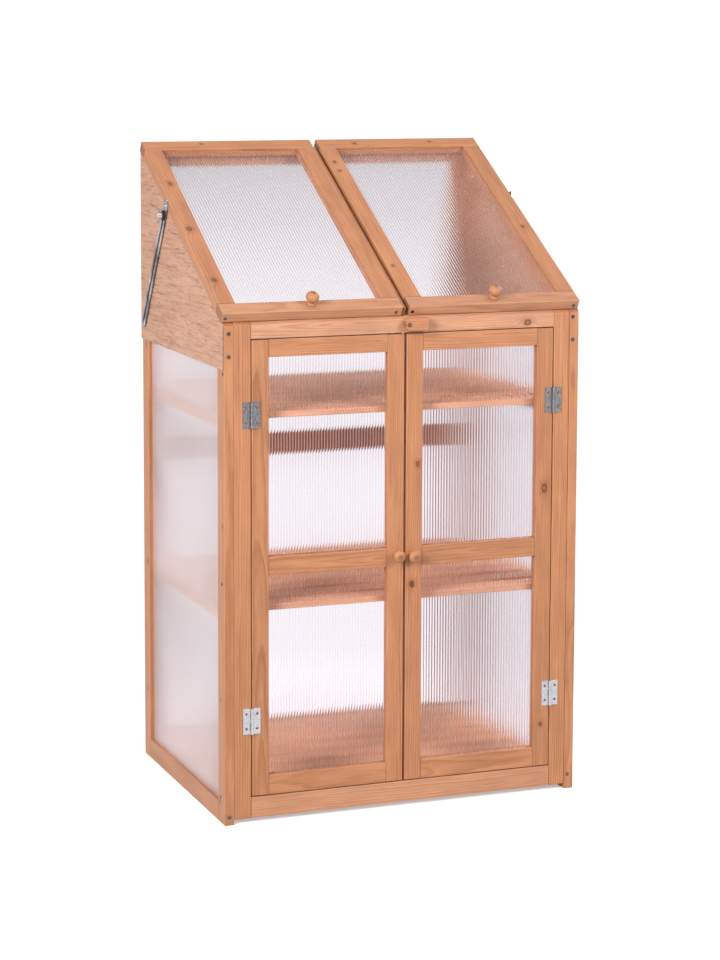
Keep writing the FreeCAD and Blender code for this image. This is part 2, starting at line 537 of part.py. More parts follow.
node("stay_clamp_blocks", both(clamp))

# ---------------------------------------------------------------- write
for name, solids in NODES.items():
    shape = solids[0] if len(solids) == 1 else Part.makeCompound(solids)
    if not shape.isValid():
        print("invalid", name)
    shape.exportStep("parts/" + name + ".step")
allbox = FreeCAD.BoundBox()
for solids in NODES.values():
    for s in solids:
        allbox.add(s.BoundBox)
print(len(NODES), "nodes", sum(len(s) for s in NODES.values()), "solids")
print("bbox", allbox)
print("y shift", Y_SHIFT, "lid axis", LID_AXIS_Y + Y_SHIFT, LID_AXIS_Z, "stay", STAY_Y + Y_SHIFT, STAY_Z, "bolt",
      BOLT_Y + Y_SHIFT, BOLT_Z)
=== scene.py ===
import math
import random
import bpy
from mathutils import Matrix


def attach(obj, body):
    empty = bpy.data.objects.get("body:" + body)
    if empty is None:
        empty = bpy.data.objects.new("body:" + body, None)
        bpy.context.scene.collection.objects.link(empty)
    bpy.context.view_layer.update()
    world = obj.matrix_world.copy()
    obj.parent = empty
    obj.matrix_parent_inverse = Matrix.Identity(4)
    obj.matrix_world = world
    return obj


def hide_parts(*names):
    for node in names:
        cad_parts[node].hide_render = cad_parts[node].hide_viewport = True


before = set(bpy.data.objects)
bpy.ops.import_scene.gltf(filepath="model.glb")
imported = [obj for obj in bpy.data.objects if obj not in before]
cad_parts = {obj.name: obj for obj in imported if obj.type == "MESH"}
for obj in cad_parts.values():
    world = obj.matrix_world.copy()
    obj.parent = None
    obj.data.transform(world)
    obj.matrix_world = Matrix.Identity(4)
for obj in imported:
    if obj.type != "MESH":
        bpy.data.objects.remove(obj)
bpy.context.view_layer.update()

import zlib

import bmesh
import bpy
import numpy as np
from mathutils import Matrix, Vector

SCENE = bpy.context.scene

# ---------------------------------------------------------------- dimensions in mm, as in the CAD source
HALF_W, DEPTH, PANEL_T, BOARD_T = 380.0, 560.0, 20.0, 3.0
FRONT_H, SLOPE, POST_D = 995.0, 0.55888, 42.0
SIDE_BOTTOM_H, WAIST_LOW, WAIST_TOP, GABLE_LOW, SLOPE_RAIL = 40.0, 912.0, 950.0, 910.0, 36.0
GLAZE_T, GROOVE, STILE_W = 4.0, 8.0, 35.0
FRAME_LOW, FRONT_RISE, FRONT_TOP_LOW, FRONT_BOTTOM_TOP = 11.0, 1.15, 968.5, 53.0
BACK_MID_LOW, BACK_MID_TOP, BACK_TOP_LOW = 645.0, 691.0, 1274.0
DOOR_LOW, DOOR_TOP, DOOR_OUT, DOOR_IN, DOOR_STILE = 55.0, 966.5, 323.0, 2.5, 35.0
DOOR_BOTTOM, DOOR_MID_LOW, DOOR_MID_TOP, DOOR_TOP_LOW = 95.0, 497.0, 535.5, 931.5
BOARD_INSET = 8.0
LID_T, LID_GAP, LID_OUT, LID_OUT_RIGHT, LID_IN = 22.0, 2.5, 385.0, 380.5, 6.5
LID_U0, LID_U1, LID_STILE, LID_BOTTOM, LID_TOP, LID_GLAZE_N, LID_KNOB_U = 9.5, 641.3, 37.0, 34.0, 33.0, 13.0, 29.1
SLAT_W, SLAT_T, SLATS, SLAT_Y0, SLAT_PITCH = 50.0, 12.0, 8, 24.0, 66.0
SHELF_TOPS = (52.0, 435.0, 820.0)
BEARER_W, BEARER_H = 20.0, 25.0
RAFTER_W, RAFTER_D, TONGUE_X0, TONGUE_X1, TONGUE_U1, TONGUE_N = 36.0, 22.0, -5.0, 0.0, 23.6, 20.0
BUTTON_W, BUTTON_L, BUTTON_T, BUTTON_X, BUTTON_Z, BUTTON_UP = 25.0, 50.0, 17.0, 1.0, 986.0, 7.5
STAY_Y, STAY_Z, STAY_ANGLE, STAY_UP, STAY_DOWN, STAY_W = 363.2, 1206.1, 33.0, 19.0, 322.0, 24.0
STAY_X, STAY_T, SLOT_W, SLOT_S0, SLOT_S1, BOLT_S = 385.4, 1.8, 9.0, 12.0, 306.0, 26.0
Y_SHIFT = -269.29988337044165
COS = 1.0 / math.sqrt(1.0 + SLOPE * SLOPE)
SIN = SLOPE * COS
BACK_INNER = DEPTH - PANEL_T
XI, XO = HALF_W - PANEL_T, HALF_W
INNER = XI - STILE_W

X, Y, Z = Vector((1, 0, 0)), Vector((0, 1, 0)), Vector((0, 0, 1))
UPHILL, NORMAL = Vector((0, COS, SIN)), Vector((0, -SIN, COS))


def slope_z(y):
    return FRONT_H + SLOPE * y


def lid_point(x, u, n):
    return Vector((x, u * COS - n * SIN, FRONT_H + u * SIN + n * COS))


def to_world(p):
    return Vector((p[0] * 0.001, (p[1] + Y_SHIFT) * 0.001, p[2] * 0.001))


# ---------------------------------------------------------------- mesh building
class Part:
    """One visible piece, made of one or more members. Lengths in mm, in the construction frame."""

    def __init__(self, name):
        self.name, self.verts, self.faces, self.smooth, self.data = name, [], [], [], {}

    def add(self, verts, faces, smooth=False, **attributes):
        base = len(self.verts)
        self.verts += [tuple(v) for v in verts]
        self.faces += [tuple(i + base for i in f) for f in faces]
        self.smooth += [smooth] * len(faces) if isinstance(smooth, bool) else list(smooth)
        for key, rows in attributes.items():
            self.data.setdefault(key, [])
            self.data[key] += rows

    def build(self, material, body, nodes=()):
        mesh = bpy.data.meshes.new(self.name)
        mesh.from_pydata([to_world(v) for v in self.verts], [], self.faces)
        for key, rows in self.data.items():
            kind = "FLOAT_VECTOR" if isinstance(rows[0], (tuple, list, Vector)) else "FLOAT"
            layer = mesh.attributes.new(key, kind, "POINT")
            flat = np.array([tuple(r) for r in rows] if kind == "FLOAT_VECTOR" else rows, np.float32).ravel()
            layer.data.foreach_set("vector" if kind == "FLOAT_VECTOR" else "value", flat)
        mesh.polygons.foreach_set("use_smooth", np.array(self.smooth, bool))
        mesh.materials.append(material)
        mesh.update()
        obj = bpy.data.objects.new(self.name, mesh)
        SCENE.collection.objects.link(obj)
        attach(obj, body)
        if nodes:
            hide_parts(*nodes)
        return obj


def bevelled(bm, radius, segments=3, edges=None):
    if radius > 0:
        bmesh.ops.bevel(bm, geom=list(edges if edges is not None else bm.edges), offset=radius, segments=segments,
                        profile=0.5, affect="EDGES", clamp_overlap=True)
    bmesh.ops.recalc_face_normals(bm, faces=bm.faces)
    bm.verts.index_update()
    return [v.co.copy() for v in bm.verts], [[v.index for v in f.verts] for f in bm.faces]


def prism_mesh(points, extrude, radius, segments=3):
    bm = bmesh.new()
    face = bm.faces.new([bm.verts.new(Vector(p)) for p in points])
    top = bmesh.ops.extrude_face_region(bm, geom=[face])
    bmesh.ops.translate(bm, vec=Vector(extrude), verts=[v for v in top["geom"] if isinstance(v, bmesh.types.BMVert)])
    out = bevelled(bm, radius, segments)
    bm.free()
    return out


def lathe_mesh(profile, at, direction, sides=32, start=0.0):
    """A turned shape: profile is (radius, height) from the base up; the ends close on the axis."""
    z = Vector(direction).normalized()
    x = z.orthogonal().normalized()
    y = z.cross(x)
    verts, faces, rings = [], [], []
    for r, h in profile:
        if r < 1e-6:
            rings.append([len(verts)])
            verts.append(Vector(at) + z * h)
        else:
            rings.append(list(range(len(verts), len(verts) + sides)))
            for i in range(sides):
                a = start + 2 * math.pi * i / sides
                verts.append(Vector(at) + x * (r * math.cos(a)) + y * (r * math.sin(a)) + z * h)
    for a, b in zip(rings, rings[1:]):
        for i in range(sides):
            j = (i + 1) % sides
            if len(a) == 1 and len(b) == 1:
                continue
            if len(a) == 1:
                faces.append((a[0], b[j], b[i]))
            elif len(b) == 1:
                faces.append((a[i], a[j], b[0]))
            else:
                faces.append((a[i], a[j], b[j], b[i]))
    return verts, faces


def drilled(verts, faces, holes):
    """Cuts countersunk holes: holes is a list of (point, direction into the wood, head radius)."""
    mesh = bpy.data.meshes.new("tmp_base")
    mesh.from_pydata([v * 0.01 for v in verts], [], faces)
    base = bpy.data.objects.new("tmp_base", mesh)
    SCENE.collection.objects.link(base)
    cutters = []
    for at, direction, r in holes:
        d = Vector(direction).normalized()
        cv, cf = lathe_mesh([(0, -3.0), (r + 1.3, -3.0), (r + 1.3, -0.35), (r + 0.15, 0.55), (0.45 * r, 0.55 + 0.6 * r),
                             (0.45 * r, 9.0), (0, 9.0)], at, d, 24)
        cm = bpy.data.meshes.new("tmp_cut")
        cm.from_pydata([v * 0.01 for v in cv], [], cf)
        co = bpy.data.objects.new("tmp_cut", cm)
        SCENE.collection.objects.link(co)
        mod = base.modifiers.new("hole", "BOOLEAN")
        mod.operation, mod.solver, mod.object = "DIFFERENCE", "EXACT", co
        cutters.append(co)
    bpy.context.view_layer.update()
    done = base.evaluated_get(bpy.context.evaluated_depsgraph_get())
    out = [v.co * 100.0 for v in done.data.vertices], [list(p.vertices) for p in done.data.polygons]
    for o in cutters + [base]:
        me = o.data
        bpy.data.objects.remove(o)
        bpy.data.meshes.remove(me)
    return out


def seeded(name):
    return random.Random(zlib.crc32(name.encode()))


FAR = (9000.0, 0.0, 0.01)


def wood_member(part, verts, faces, along, across, name, knots=(), tone=0.0, sap=0.0, flat_sawn=False, smooth=False):
    """Adds one member with its grain coordinates. knots are (distance along, distance across, radius) in mm, measured
    from the member's low end and low side in the given axes. sap is how pale and peachy the member is, 0 to 1."""
    rnd = seeded(name)
    L, W = Vector(along).normalized(), Vector(across).normalized()
    T = L.cross(W)
    co = [(v.dot(L), v.dot(W), v.dot(T)) for v in verts]
    low = [min(c[i] for c in co) for i in range(3)]
    high = [max(c[i] for c in co) for i in range(3)]
    if flat_sawn:
        pith_w, pith_t = rnd.uniform(-6, 10) + 0.5 * (high[1] - low[1]), rnd.choice((-1, 1)) * rnd.uniform(14, 30)
        tilt_w, tilt_t = rnd.uniform(-0.01, 0.01), rnd.choice((-1, 1)) * rnd.uniform(0.012, 0.03)
    else:
        side = rnd.choice((-1, 1))
        pith_w, pith_t = side * rnd.uniform(70, 150), rnd.uniform(-60, 60)
        tilt_w, tilt_t = rnd.uniform(-0.008, 0.008), rnd.uniform(-0.02, 0.02)
    seed = rnd.uniform(0, 4000)
    lo, hi, rc = [], [], []
    mid = 0.5 * (high[0] - low[0])
    for c in co:
        p = [c[i] - low[i] for i in range(3)]
        lo.append(tuple(p))
        hi.append(tuple(high[i] - c[i] for i in range(3)))
        rc.append((p[1] - pith_w + tilt_w * (p[0] - mid), p[2] - pith_t + tilt_t * (p[0] - mid), p[0] + seed))
    ks = (list(knots) + [FAR] * 3)[:3]
    n = len(co)
    part.add(verts, faces, smooth, lo=lo, hi=hi, rc=rc, tone=[(tone + rnd.uniform(-0.05, 0.05), sap, 0.0)] * n,
             kna=[ks[0]] * n, knb=[ks[1]] * n, knc=[ks[2]] * n)


def box_points(x0, x1, y0, y1, z0, z1):
    return [(x0, y0, z0), (x1, y0, z0), (x1, y1, z0), (x0, y1, z0)], (0, 0, z1 - z0)


def lid_points(x0, x1, u0, u1, n0, n1):
    return [lid_point(x0, u0, n0), lid_point(x0, u1, n0), lid_point(x0, u1, n1), lid_point(x0, u0, n1)], (x1 - x0, 0, 0)


def stick(part, points, extrude, along, across, name, radius=1.3, holes=(), **kw):
    verts, faces = prism_mesh(points, extrude, radius)
    if holes:
        verts, faces = drilled(verts, faces, holes)
    wood_member(part, verts, faces, along, across, name, **kw)


# ---------------------------------------------------------------- node graphs
class Graph:
    def __init__(self, name):
        self.mat = bpy.data.materials.new(name)
        self.mat.use_nodes = True
        self.tree = self.mat.node_tree
        self.tree.nodes.clear()
        self.col = 0

    def node(self, kind, inputs=None, **props):
        n = self.tree.nodes.new(kind)
        self.col += 1
        n.location = (self.col * 40, -(self.col % 7) * 60)
        for k, v in props.items():
            setattr(n, k, v)
        for k, v in (inputs or {}).items():
            self.put(n.inputs[k], v)
        return n

    def put(self, socket, value):
        if isinstance(value, bpy.types.NodeSocket):
            self.tree.links.new(value, socket)
        else:
            socket.default_value = value

    def attr(self, name):
        return self.node("ShaderNodeAttribute", attribute_name=name)

    def xyz(self, vector):
        n = self.node("ShaderNodeSeparateXYZ", {"Vector": vector})
        return n.outputs["X"], n.outputs["Y"], n.outputs["Z"]

    def vec(self, x, y, z):
        return self.node("ShaderNodeCombineXYZ", {"X": x, "Y": y, "Z": z}).outputs["Vector"]

    def m(self, op, a, b=None, c=None, clamp=False):
        n = self.node("ShaderNodeMath", operation=op, use_clamp=clamp)
        for i, v in enumerate((a, b, c)):
            if v is not None:
                self.put(n.inputs[i], v)
        return n.outputs[0]

    def add(self, a, b):
        return self.m("ADD", a, b)

    def mul(self, a, b):
        return self.m("MULTIPLY", a, b)

    def step(self, value, a, b, lo=0.0, hi=1.0):
        n = self.node("ShaderNodeMapRange", interpolation_type="SMOOTHSTEP")
        for k, v in (("Value", value), ("From Min", a), ("From Max", b), ("To Min", lo), ("To Max", hi)):
            self.put(n.inputs[k], v)
        return n.outputs["Result"]

    def noise(self, vector, scale=1.0, detail=2.0, rough=0.5, distort=0.0):
        n = self.node("ShaderNodeTexNoise", {"Vector": vector, "Scale": scale, "Detail": detail, "Roughness": rough,
                                             "Distortion": distort})
        return n.outputs["Fac"], n.outputs["Color"]

    def ramp(self, value, stops, mode="LINEAR"):
        n = self.node("ShaderNodeValToRGB", {"Fac": value})
        n.color_ramp.interpolation = mode
        e = n.color_ramp.elements
        while len(e) > 1:
            e.remove(e[-1])
        for i, (pos, col) in enumerate(stops):
            el = e[0] if i == 0 else e.new(pos)
            el.position = pos
            el.color = (col, col, col, 1) if isinstance(col, (int, float)) else (*col, 1)
        return n.outputs["Color"]

    def mix(self, fac, a, b, kind="MIX"):
        n = self.node("ShaderNodeMix", data_type="RGBA", blend_type=kind)
        self.put(n.inputs[0], fac)
        self.put(n.inputs[6], a if isinstance(a, bpy.types.NodeSocket) else (*a, 1))
        self.put(n.inputs[7], b if isinstance(b, bpy.types.NodeSocket) else (*b, 1))
        return n.outputs[2]

    def bump(self, height, strength=0.3, distance=0.0005, normal=None):
        n = self.node("ShaderNodeBump", {"Strength": strength, "Distance": distance, "Height": height})
        if normal is not None:
            self.put(n.inputs["Normal"], normal)
        return n.outputs["Normal"]

    def out(self, shader):
        o = self.node("ShaderNodeOutputMaterial")
        self.tree.links.new(shader, o.inputs["Surface"])
        return self.mat


def srgb(r, g, b):
    return tuple(c / 255 / 12.92 if c / 255 <= 0.04045 else ((c / 255 + 0.055) / 1.055) ** 2.4 for c in (r, g, b))


def wood_material(name, early, late, core, sap_early, sap_late, pitch=4.4, contrast=0.6, fibre=0.5, blotch=0.24,
                  edge_wear_and_highlight=0.3, rough=0.5, bump=0.3):
    """Stained softwood: growth rings round a pith, bent round up to three knots, with fibres, blotches, ends darker
    from end-grain stain plus painted shade in the joints, and edges paler from worn wood plus a painted highlight."""
    g = Graph(name)
    lo, hi, rc = (g.attr(n).outputs["Vector"] for n in ("lo", "hi", "rc"))
    tone, sap, _ = g.xyz(g.attr("tone").outputs["Vector"])
    l, w, t = g.xyz(lo)
    hl, hw, ht = g.xyz(hi)
    rw, rt, rl = g.xyz(rc)
    # slow wander of the grain
    _, wander = g.noise(g.vec(g.mul(rl, 0.0042), g.mul(rw, 0.018), g.mul(rt, 0.018)), 1.0, 2.0, 0.45)
    a, b, c = g.xyz(wander)
    rw1 = g.m("MULTIPLY_ADD", g.m("SUBTRACT", a, 0.5), 13.0, rw)
    rt1 = g.m("MULTIPLY_ADD", g.m("SUBTRACT", b, 0.5), 13.0, rt)
    ring = g.m("SQRT", g.add(g.mul(rw1, rw1), g.mul(rt1, rt1)))
    # knots push the rings aside
    cores, halos = None, None
    wob, _ = g.noise(g.vec(g.mul(rl, 0.09), g.mul(rw, 0.16), g.mul(rt, 0.16)), 1.0, 1.0)
    wob = g.m("SUBTRACT", wob, 0.5)
    for key in ("kna", "knb", "knc"):
        kl, kw, kr = g.xyz(g.attr(key).outputs["Vector"])
        dl, dw = g.m("SUBTRACT", l, kl), g.m("SUBTRACT", w, kw)
        flow = g.add(g.m("POWER", g.mul(dl, 0.36), 2.0), g.m("POWER", dw, 2.0))
        spread = g.m("POWER", g.mul(kr, 1.75), 2.0)
        bend = g.m("DIVIDE", 1.0, g.m("POWER", g.add(1.0, g.m("DIVIDE", flow, spread)), 2.0))
        ring = g.m("MULTIPLY_ADD", bend, g.mul(kr, 2.6), ring)
        dist = g.m("SQRT", g.add(g.m("POWER", g.mul(dl, 0.72), 2.0), g.m("POWER", dw, 2.0)))
        rel = g.add(g.m("DIVIDE", dist, kr), g.mul(wob, 0.55))
        dead = g.step(g.m("FRACT", g.m("MULTIPLY_ADD", kr, 10.0, 0.05)), 0.3, 0.45)     # a dead knot is dark all over
        rim = g.m("MULTIPLY", g.step(rel, 1.14, 0.94), g.m("MAXIMUM", g.step(rel, 0.5, 0.8, 0.5, 1.0), dead))
        core_m = g.m("MULTIPLY", rim, g.step(kr, 2.2, 3.4, 1.0, 0.92))
        halo_m = g.step(rel, 3.2, 0.9)
        cores = core_m if cores is None else g.m("MAXIMUM", cores, core_m)
        halos = halo_m if halos is None else g.m("MAXIMUM", halos, halo_m)
    # rings of unequal width
    width, _ = g.noise(g.vec(g.mul(ring, 0.055), g.mul(rl, 0.0006), 3.7), 1.0, 1.0)
    ring = g.m("MULTIPLY_ADD", g.m("SUBTRACT", width, 0.5), 16.0, ring)
    jitter, _ = g.noise(g.vec(g.mul(rl, 0.03), g.mul(rw, 0.35), g.mul(rt, 0.35)), 1.0, 2.0)
    phase = g.m("FRACT", g.add(g.m("DIVIDE", ring, pitch), g.mul(jitter, 0.28)))
    late_m = g.ramp(phase, ((0.0, 0.0), (0.30, 0.10), (0.62, 0.55), (0.84, 1.0), (0.92, 0.85), (1.0, 0.0)), "EASE")
    # long fine fibres and soft blotches
    fib, _ = g.noise(g.vec(g.mul(rl, 0.022), g.mul(rw, 1.25), g.mul(rt, 1.25)), 1.0, 3.0, 0.62)
    fine, _ = g.noise(g.vec(g.mul(rl, 0.09), g.mul(rw, 3.4), g.mul(rt, 3.4)), 1.0, 2.0, 0.6)
    blot, blot_c = g.noise(g.vec(g.mul(rl, 0.009), g.mul(rw, 0.045), g.mul(rt, 0.045)), 1.0, 3.0, 0.55)
    part_c, _ = g.noise(g.vec(g.mul(rl, 0.0016), g.mul(rw, 0.012), 1.3), 1.0, 1.0)
    strength = g.m("MULTIPLY_ADD", part_c, 0.9, 0.35)
    fac = g.mul(g.mul(late_m, contrast), strength)
    fac = g.m("MULTIPLY_ADD", g.m("SUBTRACT", fib, 0.5), fibre, fac)
    fac = g.m("MULTIPLY_ADD", g.m("SUBTRACT", fine, 0.5), fibre * 0.5, fac)
    streak, _ = g.noise(g.vec(g.mul(rl, 0.0035), g.mul(rw, 0.42), g.mul(rt, 0.42)), 1.0, 3.0, 0.55)
    fac = g.m("MULTIPLY_ADD", g.step(streak, 0.52, 0.72), 0.34, fac)
    fac = g.m("ADD", fac, 0.02, clamp=True)
    sap = g.m("MULTIPLY_ADD", g.m("SUBTRACT", part_c, 0.5), 0.5, sap, clamp=True)
    light, deep = g.mix(sap, early, sap_early), g.mix(sap, late, sap_late)
    colour = g.mix(fac, light, deep)
    shade = g.m("MULTIPLY_ADD", g.m("SUBTRACT", blot, 0.5), blotch * 2.2, 1.0)
    shade = g.add(shade, tone)
    colour = g.mix(1.0, colour, g.vec(shade, shade, shade), "MULTIPLY")
    warm = g.step(g.xyz(blot_c)[2], 0.35, 0.75)
    colour = g.mix(g.mul(warm, 0.22), colour, deep)
    # knots
    colour = g.mix(g.mul(halos, 0.45), colour, deep)
    kring = g.m("MULTIPLY_ADD", g.m("SINE", g.mul(ring, 3.1)), 0.18, 0.82)
    colour = g.mix(g.mul(cores, kring), colour, core)
    # ends take more stain, plus painted shade in the joints; edges are paler, partly rubbed and partly a painted
    # highlight
    end_d = g.m("MINIMUM", l, hl)
    dw_, dt_ = g.m("MINIMUM", w, hw), g.m("MINIMUM", t, ht)
    near, far = g.m("MINIMUM", dw_, dt_), g.m("MAXIMUM", dw_, dt_)
    second = g.m("MAXIMUM", near, g.m("MINIMUM", far, end_d))
    edge_break_noise, _ = g.noise(g.vec(g.mul(rl, 0.035), g.mul(rw, 0.2), g.mul(rt, 0.2)), 1.0, 2.0)
    # painted highlight plus rubbed wood: a pale band along the rounded edges, broken up by noise
    edge = g.mul(g.step(g.add(second, g.mul(edge_break_noise, 1.4)), 2.9, 0.9), g.step(edge_break_noise, 0.28, 0.62))
    pale = tuple(min(1.0, c * 1.18 + 0.05) for c in early)
    colour = g.mix(g.mul(edge, edge_wear_and_highlight), colour, pale)
    # painted shade in the joints plus end-grain stain: the ends of each member are darkened
    ends = g.step(g.add(end_d, g.mul(jitter, 0.8)), 2.3, 0.5)
    colour = g.mix(g.mul(ends, 0.6), colour, tuple(c * 0.45 for c in late))
    # surface
    height = g.m("MULTIPLY_ADD", late_m, 0.35, g.mul(fib, 0.9))
    height = g.m("MULTIPLY_ADD", fine, 0.35, height)
    height = g.m("MULTIPLY_ADD", cores, -0.5, height)
    normal = g.bump(height, bump, 0.0004)
    roughness = g.m("ADD", g.m("MULTIPLY_ADD", fib, 0.16, rough - 0.08), g.mul(late_m, -0.06), clamp=True)
    roughness = g.m("MULTIPLY_ADD", edge, 0.06, roughness)
    bsdf = g.node("ShaderNodeBsdfPrincipled", {"Base Color": colour, "Roughness": roughness, "Normal": normal})
    bsdf.inputs["Specular IOR Level"].default_value = 0.42
    return g.out(bsdf.outputs["BSDF"])


def plywood_material(name, base, dark, pale):
    """Rotary-cut birch face: mottled, with fine broken horizontal lines and short dark checks; plies show at the edge."""
    g = Graph(name)
    lo, hi, rc = (g.attr(n).outputs["Vector"] for n in ("lo", "hi", "rc"))
    l, w, t = g.xyz(lo)
    hl, hw, ht = g.xyz(hi)
    rw, rt, rl = g.xyz(rc)
    big, _ = g.noise(g.vec(g.mul(rl, 0.008), g.mul(rw, 0.02), 0.5), 1.0, 4.0, 0.6, 0.6)
    mott, _ = g.noise(g.vec(g.mul(rl, 0.05), g.mul(rw, 0.13), 1.5), 1.0, 3.0, 0.6, 0.4)
    line, _ = g.noise(g.vec(g.mul(rl, 0.035), g.mul(rw, 0.9), 2.5), 1.0, 3.0, 0.65, 0.3)
    fine, _ = g.noise(g.vec(g.mul(rl, 0.2), g.mul(rw, 2.6), 3.5), 1.0, 2.0, 0.6)
    fac = g.m("MULTIPLY_ADD", g.m("SUBTRACT", big, 0.5), 1.1, 0.42)
    fac = g.m("MULTIPLY_ADD", g.m("SUBTRACT", mott, 0.5), 0.8, fac)
    fac = g.m("MULTIPLY_ADD", g.m("SUBTRACT", line, 0.5), 1.7, fac)
    fac = g.m("MULTIPLY_ADD", g.m("SUBTRACT", fine, 0.5), 0.4, fac)
    band, _ = g.noise(g.vec(g.mul(rl, 0.012), g.mul(rw, 0.24), 5.5), 1.0, 3.0, 0.6, 0.5)
    fac = g.m("MULTIPLY_ADD", g.m("SUBTRACT", band, 0.5), 1.9, fac)
    colour = g.mix(g.m("ADD", fac, 0.0, clamp=True), pale, base)
    colour = g.mix(g.mul(g.step(band, 0.56, 0.7), 0.5), colour, dark)
    check, _ = g.noise(g.vec(g.mul(rl, 0.04), g.mul(rw, 0.4), 7.5), 1.0, 3.0, 0.6, 0.8)
    mark = g.step(check, 0.61, 0.66)
    colour = g.mix(g.mul(mark, 0.78), colour, tuple(c * 0.8 for c in dark))
    flare, _ = g.noise(g.vec(g.mul(rl, 0.012), g.mul(rw, 0.05), 9.5), 1.0, 3.0, 0.6, 1.2)
    colour = g.mix(g.mul(g.step(flare, 0.55, 0.75), 0.35), colour, dark)
    # plies at the edges
    near_edge = g.m("MINIMUM", g.m("MINIMUM", l, hl), g.m("MINIMUM", w, hw))
    on_edge = g.step(near_edge, 0.9, 0.2)
    ply = g.step(g.m("ABSOLUTE", g.m("SUBTRACT", t, 1.5)), 0.75, 0.5)
    colour = g.mix(g.mul(on_edge, g.m("MULTIPLY_ADD", ply, 0.5, 0.25)), colour, tuple(c * 0.55 for c in dark))
    height = g.add(g.mul(line, 0.8), g.mul(mark, -0.7))
    bsdf = g.node("ShaderNodeBsdfPrincipled", {"Base Color": colour,
                                               "Roughness": g.m("MULTIPLY_ADD", line, 0.2, 0.48),
                                               "Normal": g.bump(height, 0.25, 0.0004)})
    bsdf.inputs["Specular IOR Level"].default_value = 0.4
    return g.out(bsdf.outputs["BSDF"])


def twin_wall_material(name):
    """Clear fluted plastic with milky webs; lamps and diffuse light pass straight through."""
    g = Graph(name)
    fl = g.attr("flute").outputs["Fac"]
    px, py, pz = g.xyz(g.attr("pos").outputs["Vector"])
    cell = g.m("ABSOLUTE", g.m("SUBTRACT", g.m("FRACT", fl), 0.5))        # 0 mid flute, 0.5 at the web
    index = g.m("FLOOR", fl)
    vary, _ = g.noise(g.vec(g.mul(index, 0.71), g.mul(py, 0.0016), 0.3), 1.0, 1.0)
    haze, _ = g.noise(g.vec(g.mul(px, 0.02), g.mul(py, 0.006), 2.3), 1.0, 2.0)
    start = g.m("MULTIPLY_ADD", g.m("SUBTRACT", vary, 0.5), 0.05, 0.28)
    web = g.step(cell, start, g.add(start, 0.04))
    entering = g.m("SUBTRACT", 1.0, g.node("ShaderNodeNewGeometry").outputs["Backfacing"])
    facing = g.node("ShaderNodeLayerWeight", {"Blend": 0.45}).outputs["Facing"]
    lean = g.step(facing, 0.25, 0.85)
    roof = g.attr("roof").outputs["Fac"]
    web_part = g.m("MULTIPLY_ADD", roof, -0.1, 0.55)
    soft_part = g.m("MAXIMUM", g.mul(g.mul(web, web_part), entering), g.mul(lean, g.m("MULTIPLY_ADD", roof, -0.4, 0.9)))
    tint = g.mix(web, (0.974, 0.960, 0.974), (0.944, 0.922, 0.942))
    tint = g.mix(roof, tint, (0.998, 0.99, 1.0))
    sharp = g.node("ShaderNodeBsdfRefraction", {"Color": tint, "Roughness": 0.0, "IOR": 1.5}).outputs["BSDF"]
    soft = g.node("ShaderNodeBsdfRefraction", {"Color": tint, "Roughness": 0.42, "IOR": 1.5}).outputs["BSDF"]
    plastic = g.node("ShaderNodeMixShader", {0: soft_part, 1: sharp, 2: soft}).outputs["Shader"]
    gloss = g.node("ShaderNodeBsdfAnisotropic", {"Color": (1, 1, 1, 1), "Roughness": 0.1}).outputs["BSDF"]
    fres = g.node("ShaderNodeFresnel", {"IOR": 1.45}).outputs["Fac"]
    clear = g.node("ShaderNodeMixShader", {0: g.m("MAXIMUM", g.m("SUBTRACT", fres, 0.06), 0.0), 1: plastic,
                                           2: gloss}).outputs["Shader"]
    white = srgb(250, 245, 251)
    trans = g.node("ShaderNodeBsdfTranslucent", {"Color": (*white, 1)}).outputs["BSDF"]
    diff = g.node("ShaderNodeBsdfDiffuse", {"Color": (*white, 1)}).outputs["BSDF"]
    milky = g.node("ShaderNodeMixShader", {0: 0.40, 1: trans, 2: diff}).outputs["Shader"]
    seen = g.node("ShaderNodeMixShader", {0: g.mul(lean, g.m("MULTIPLY_ADD", roof, -0.26, 0.6)), 1: clear, 2: milky}).outputs["Shader"]
    path = g.node("ShaderNodeLightPath")
    through = g.m("MAXIMUM", path.outputs["Is Shadow Ray"], path.outputs["Is Diffuse Ray"])
    dimmed = g.mix(roof, (0.925, 0.91, 0.92), (0.99, 0.985, 0.99))
    passing = g.node("ShaderNodeBsdfTransparent", {"Color": dimmed}).outputs["BSDF"]
    return g.out(g.node("ShaderNodeMixShader", {0: through, 1: seen, 2: passing}).outputs["Shader"])


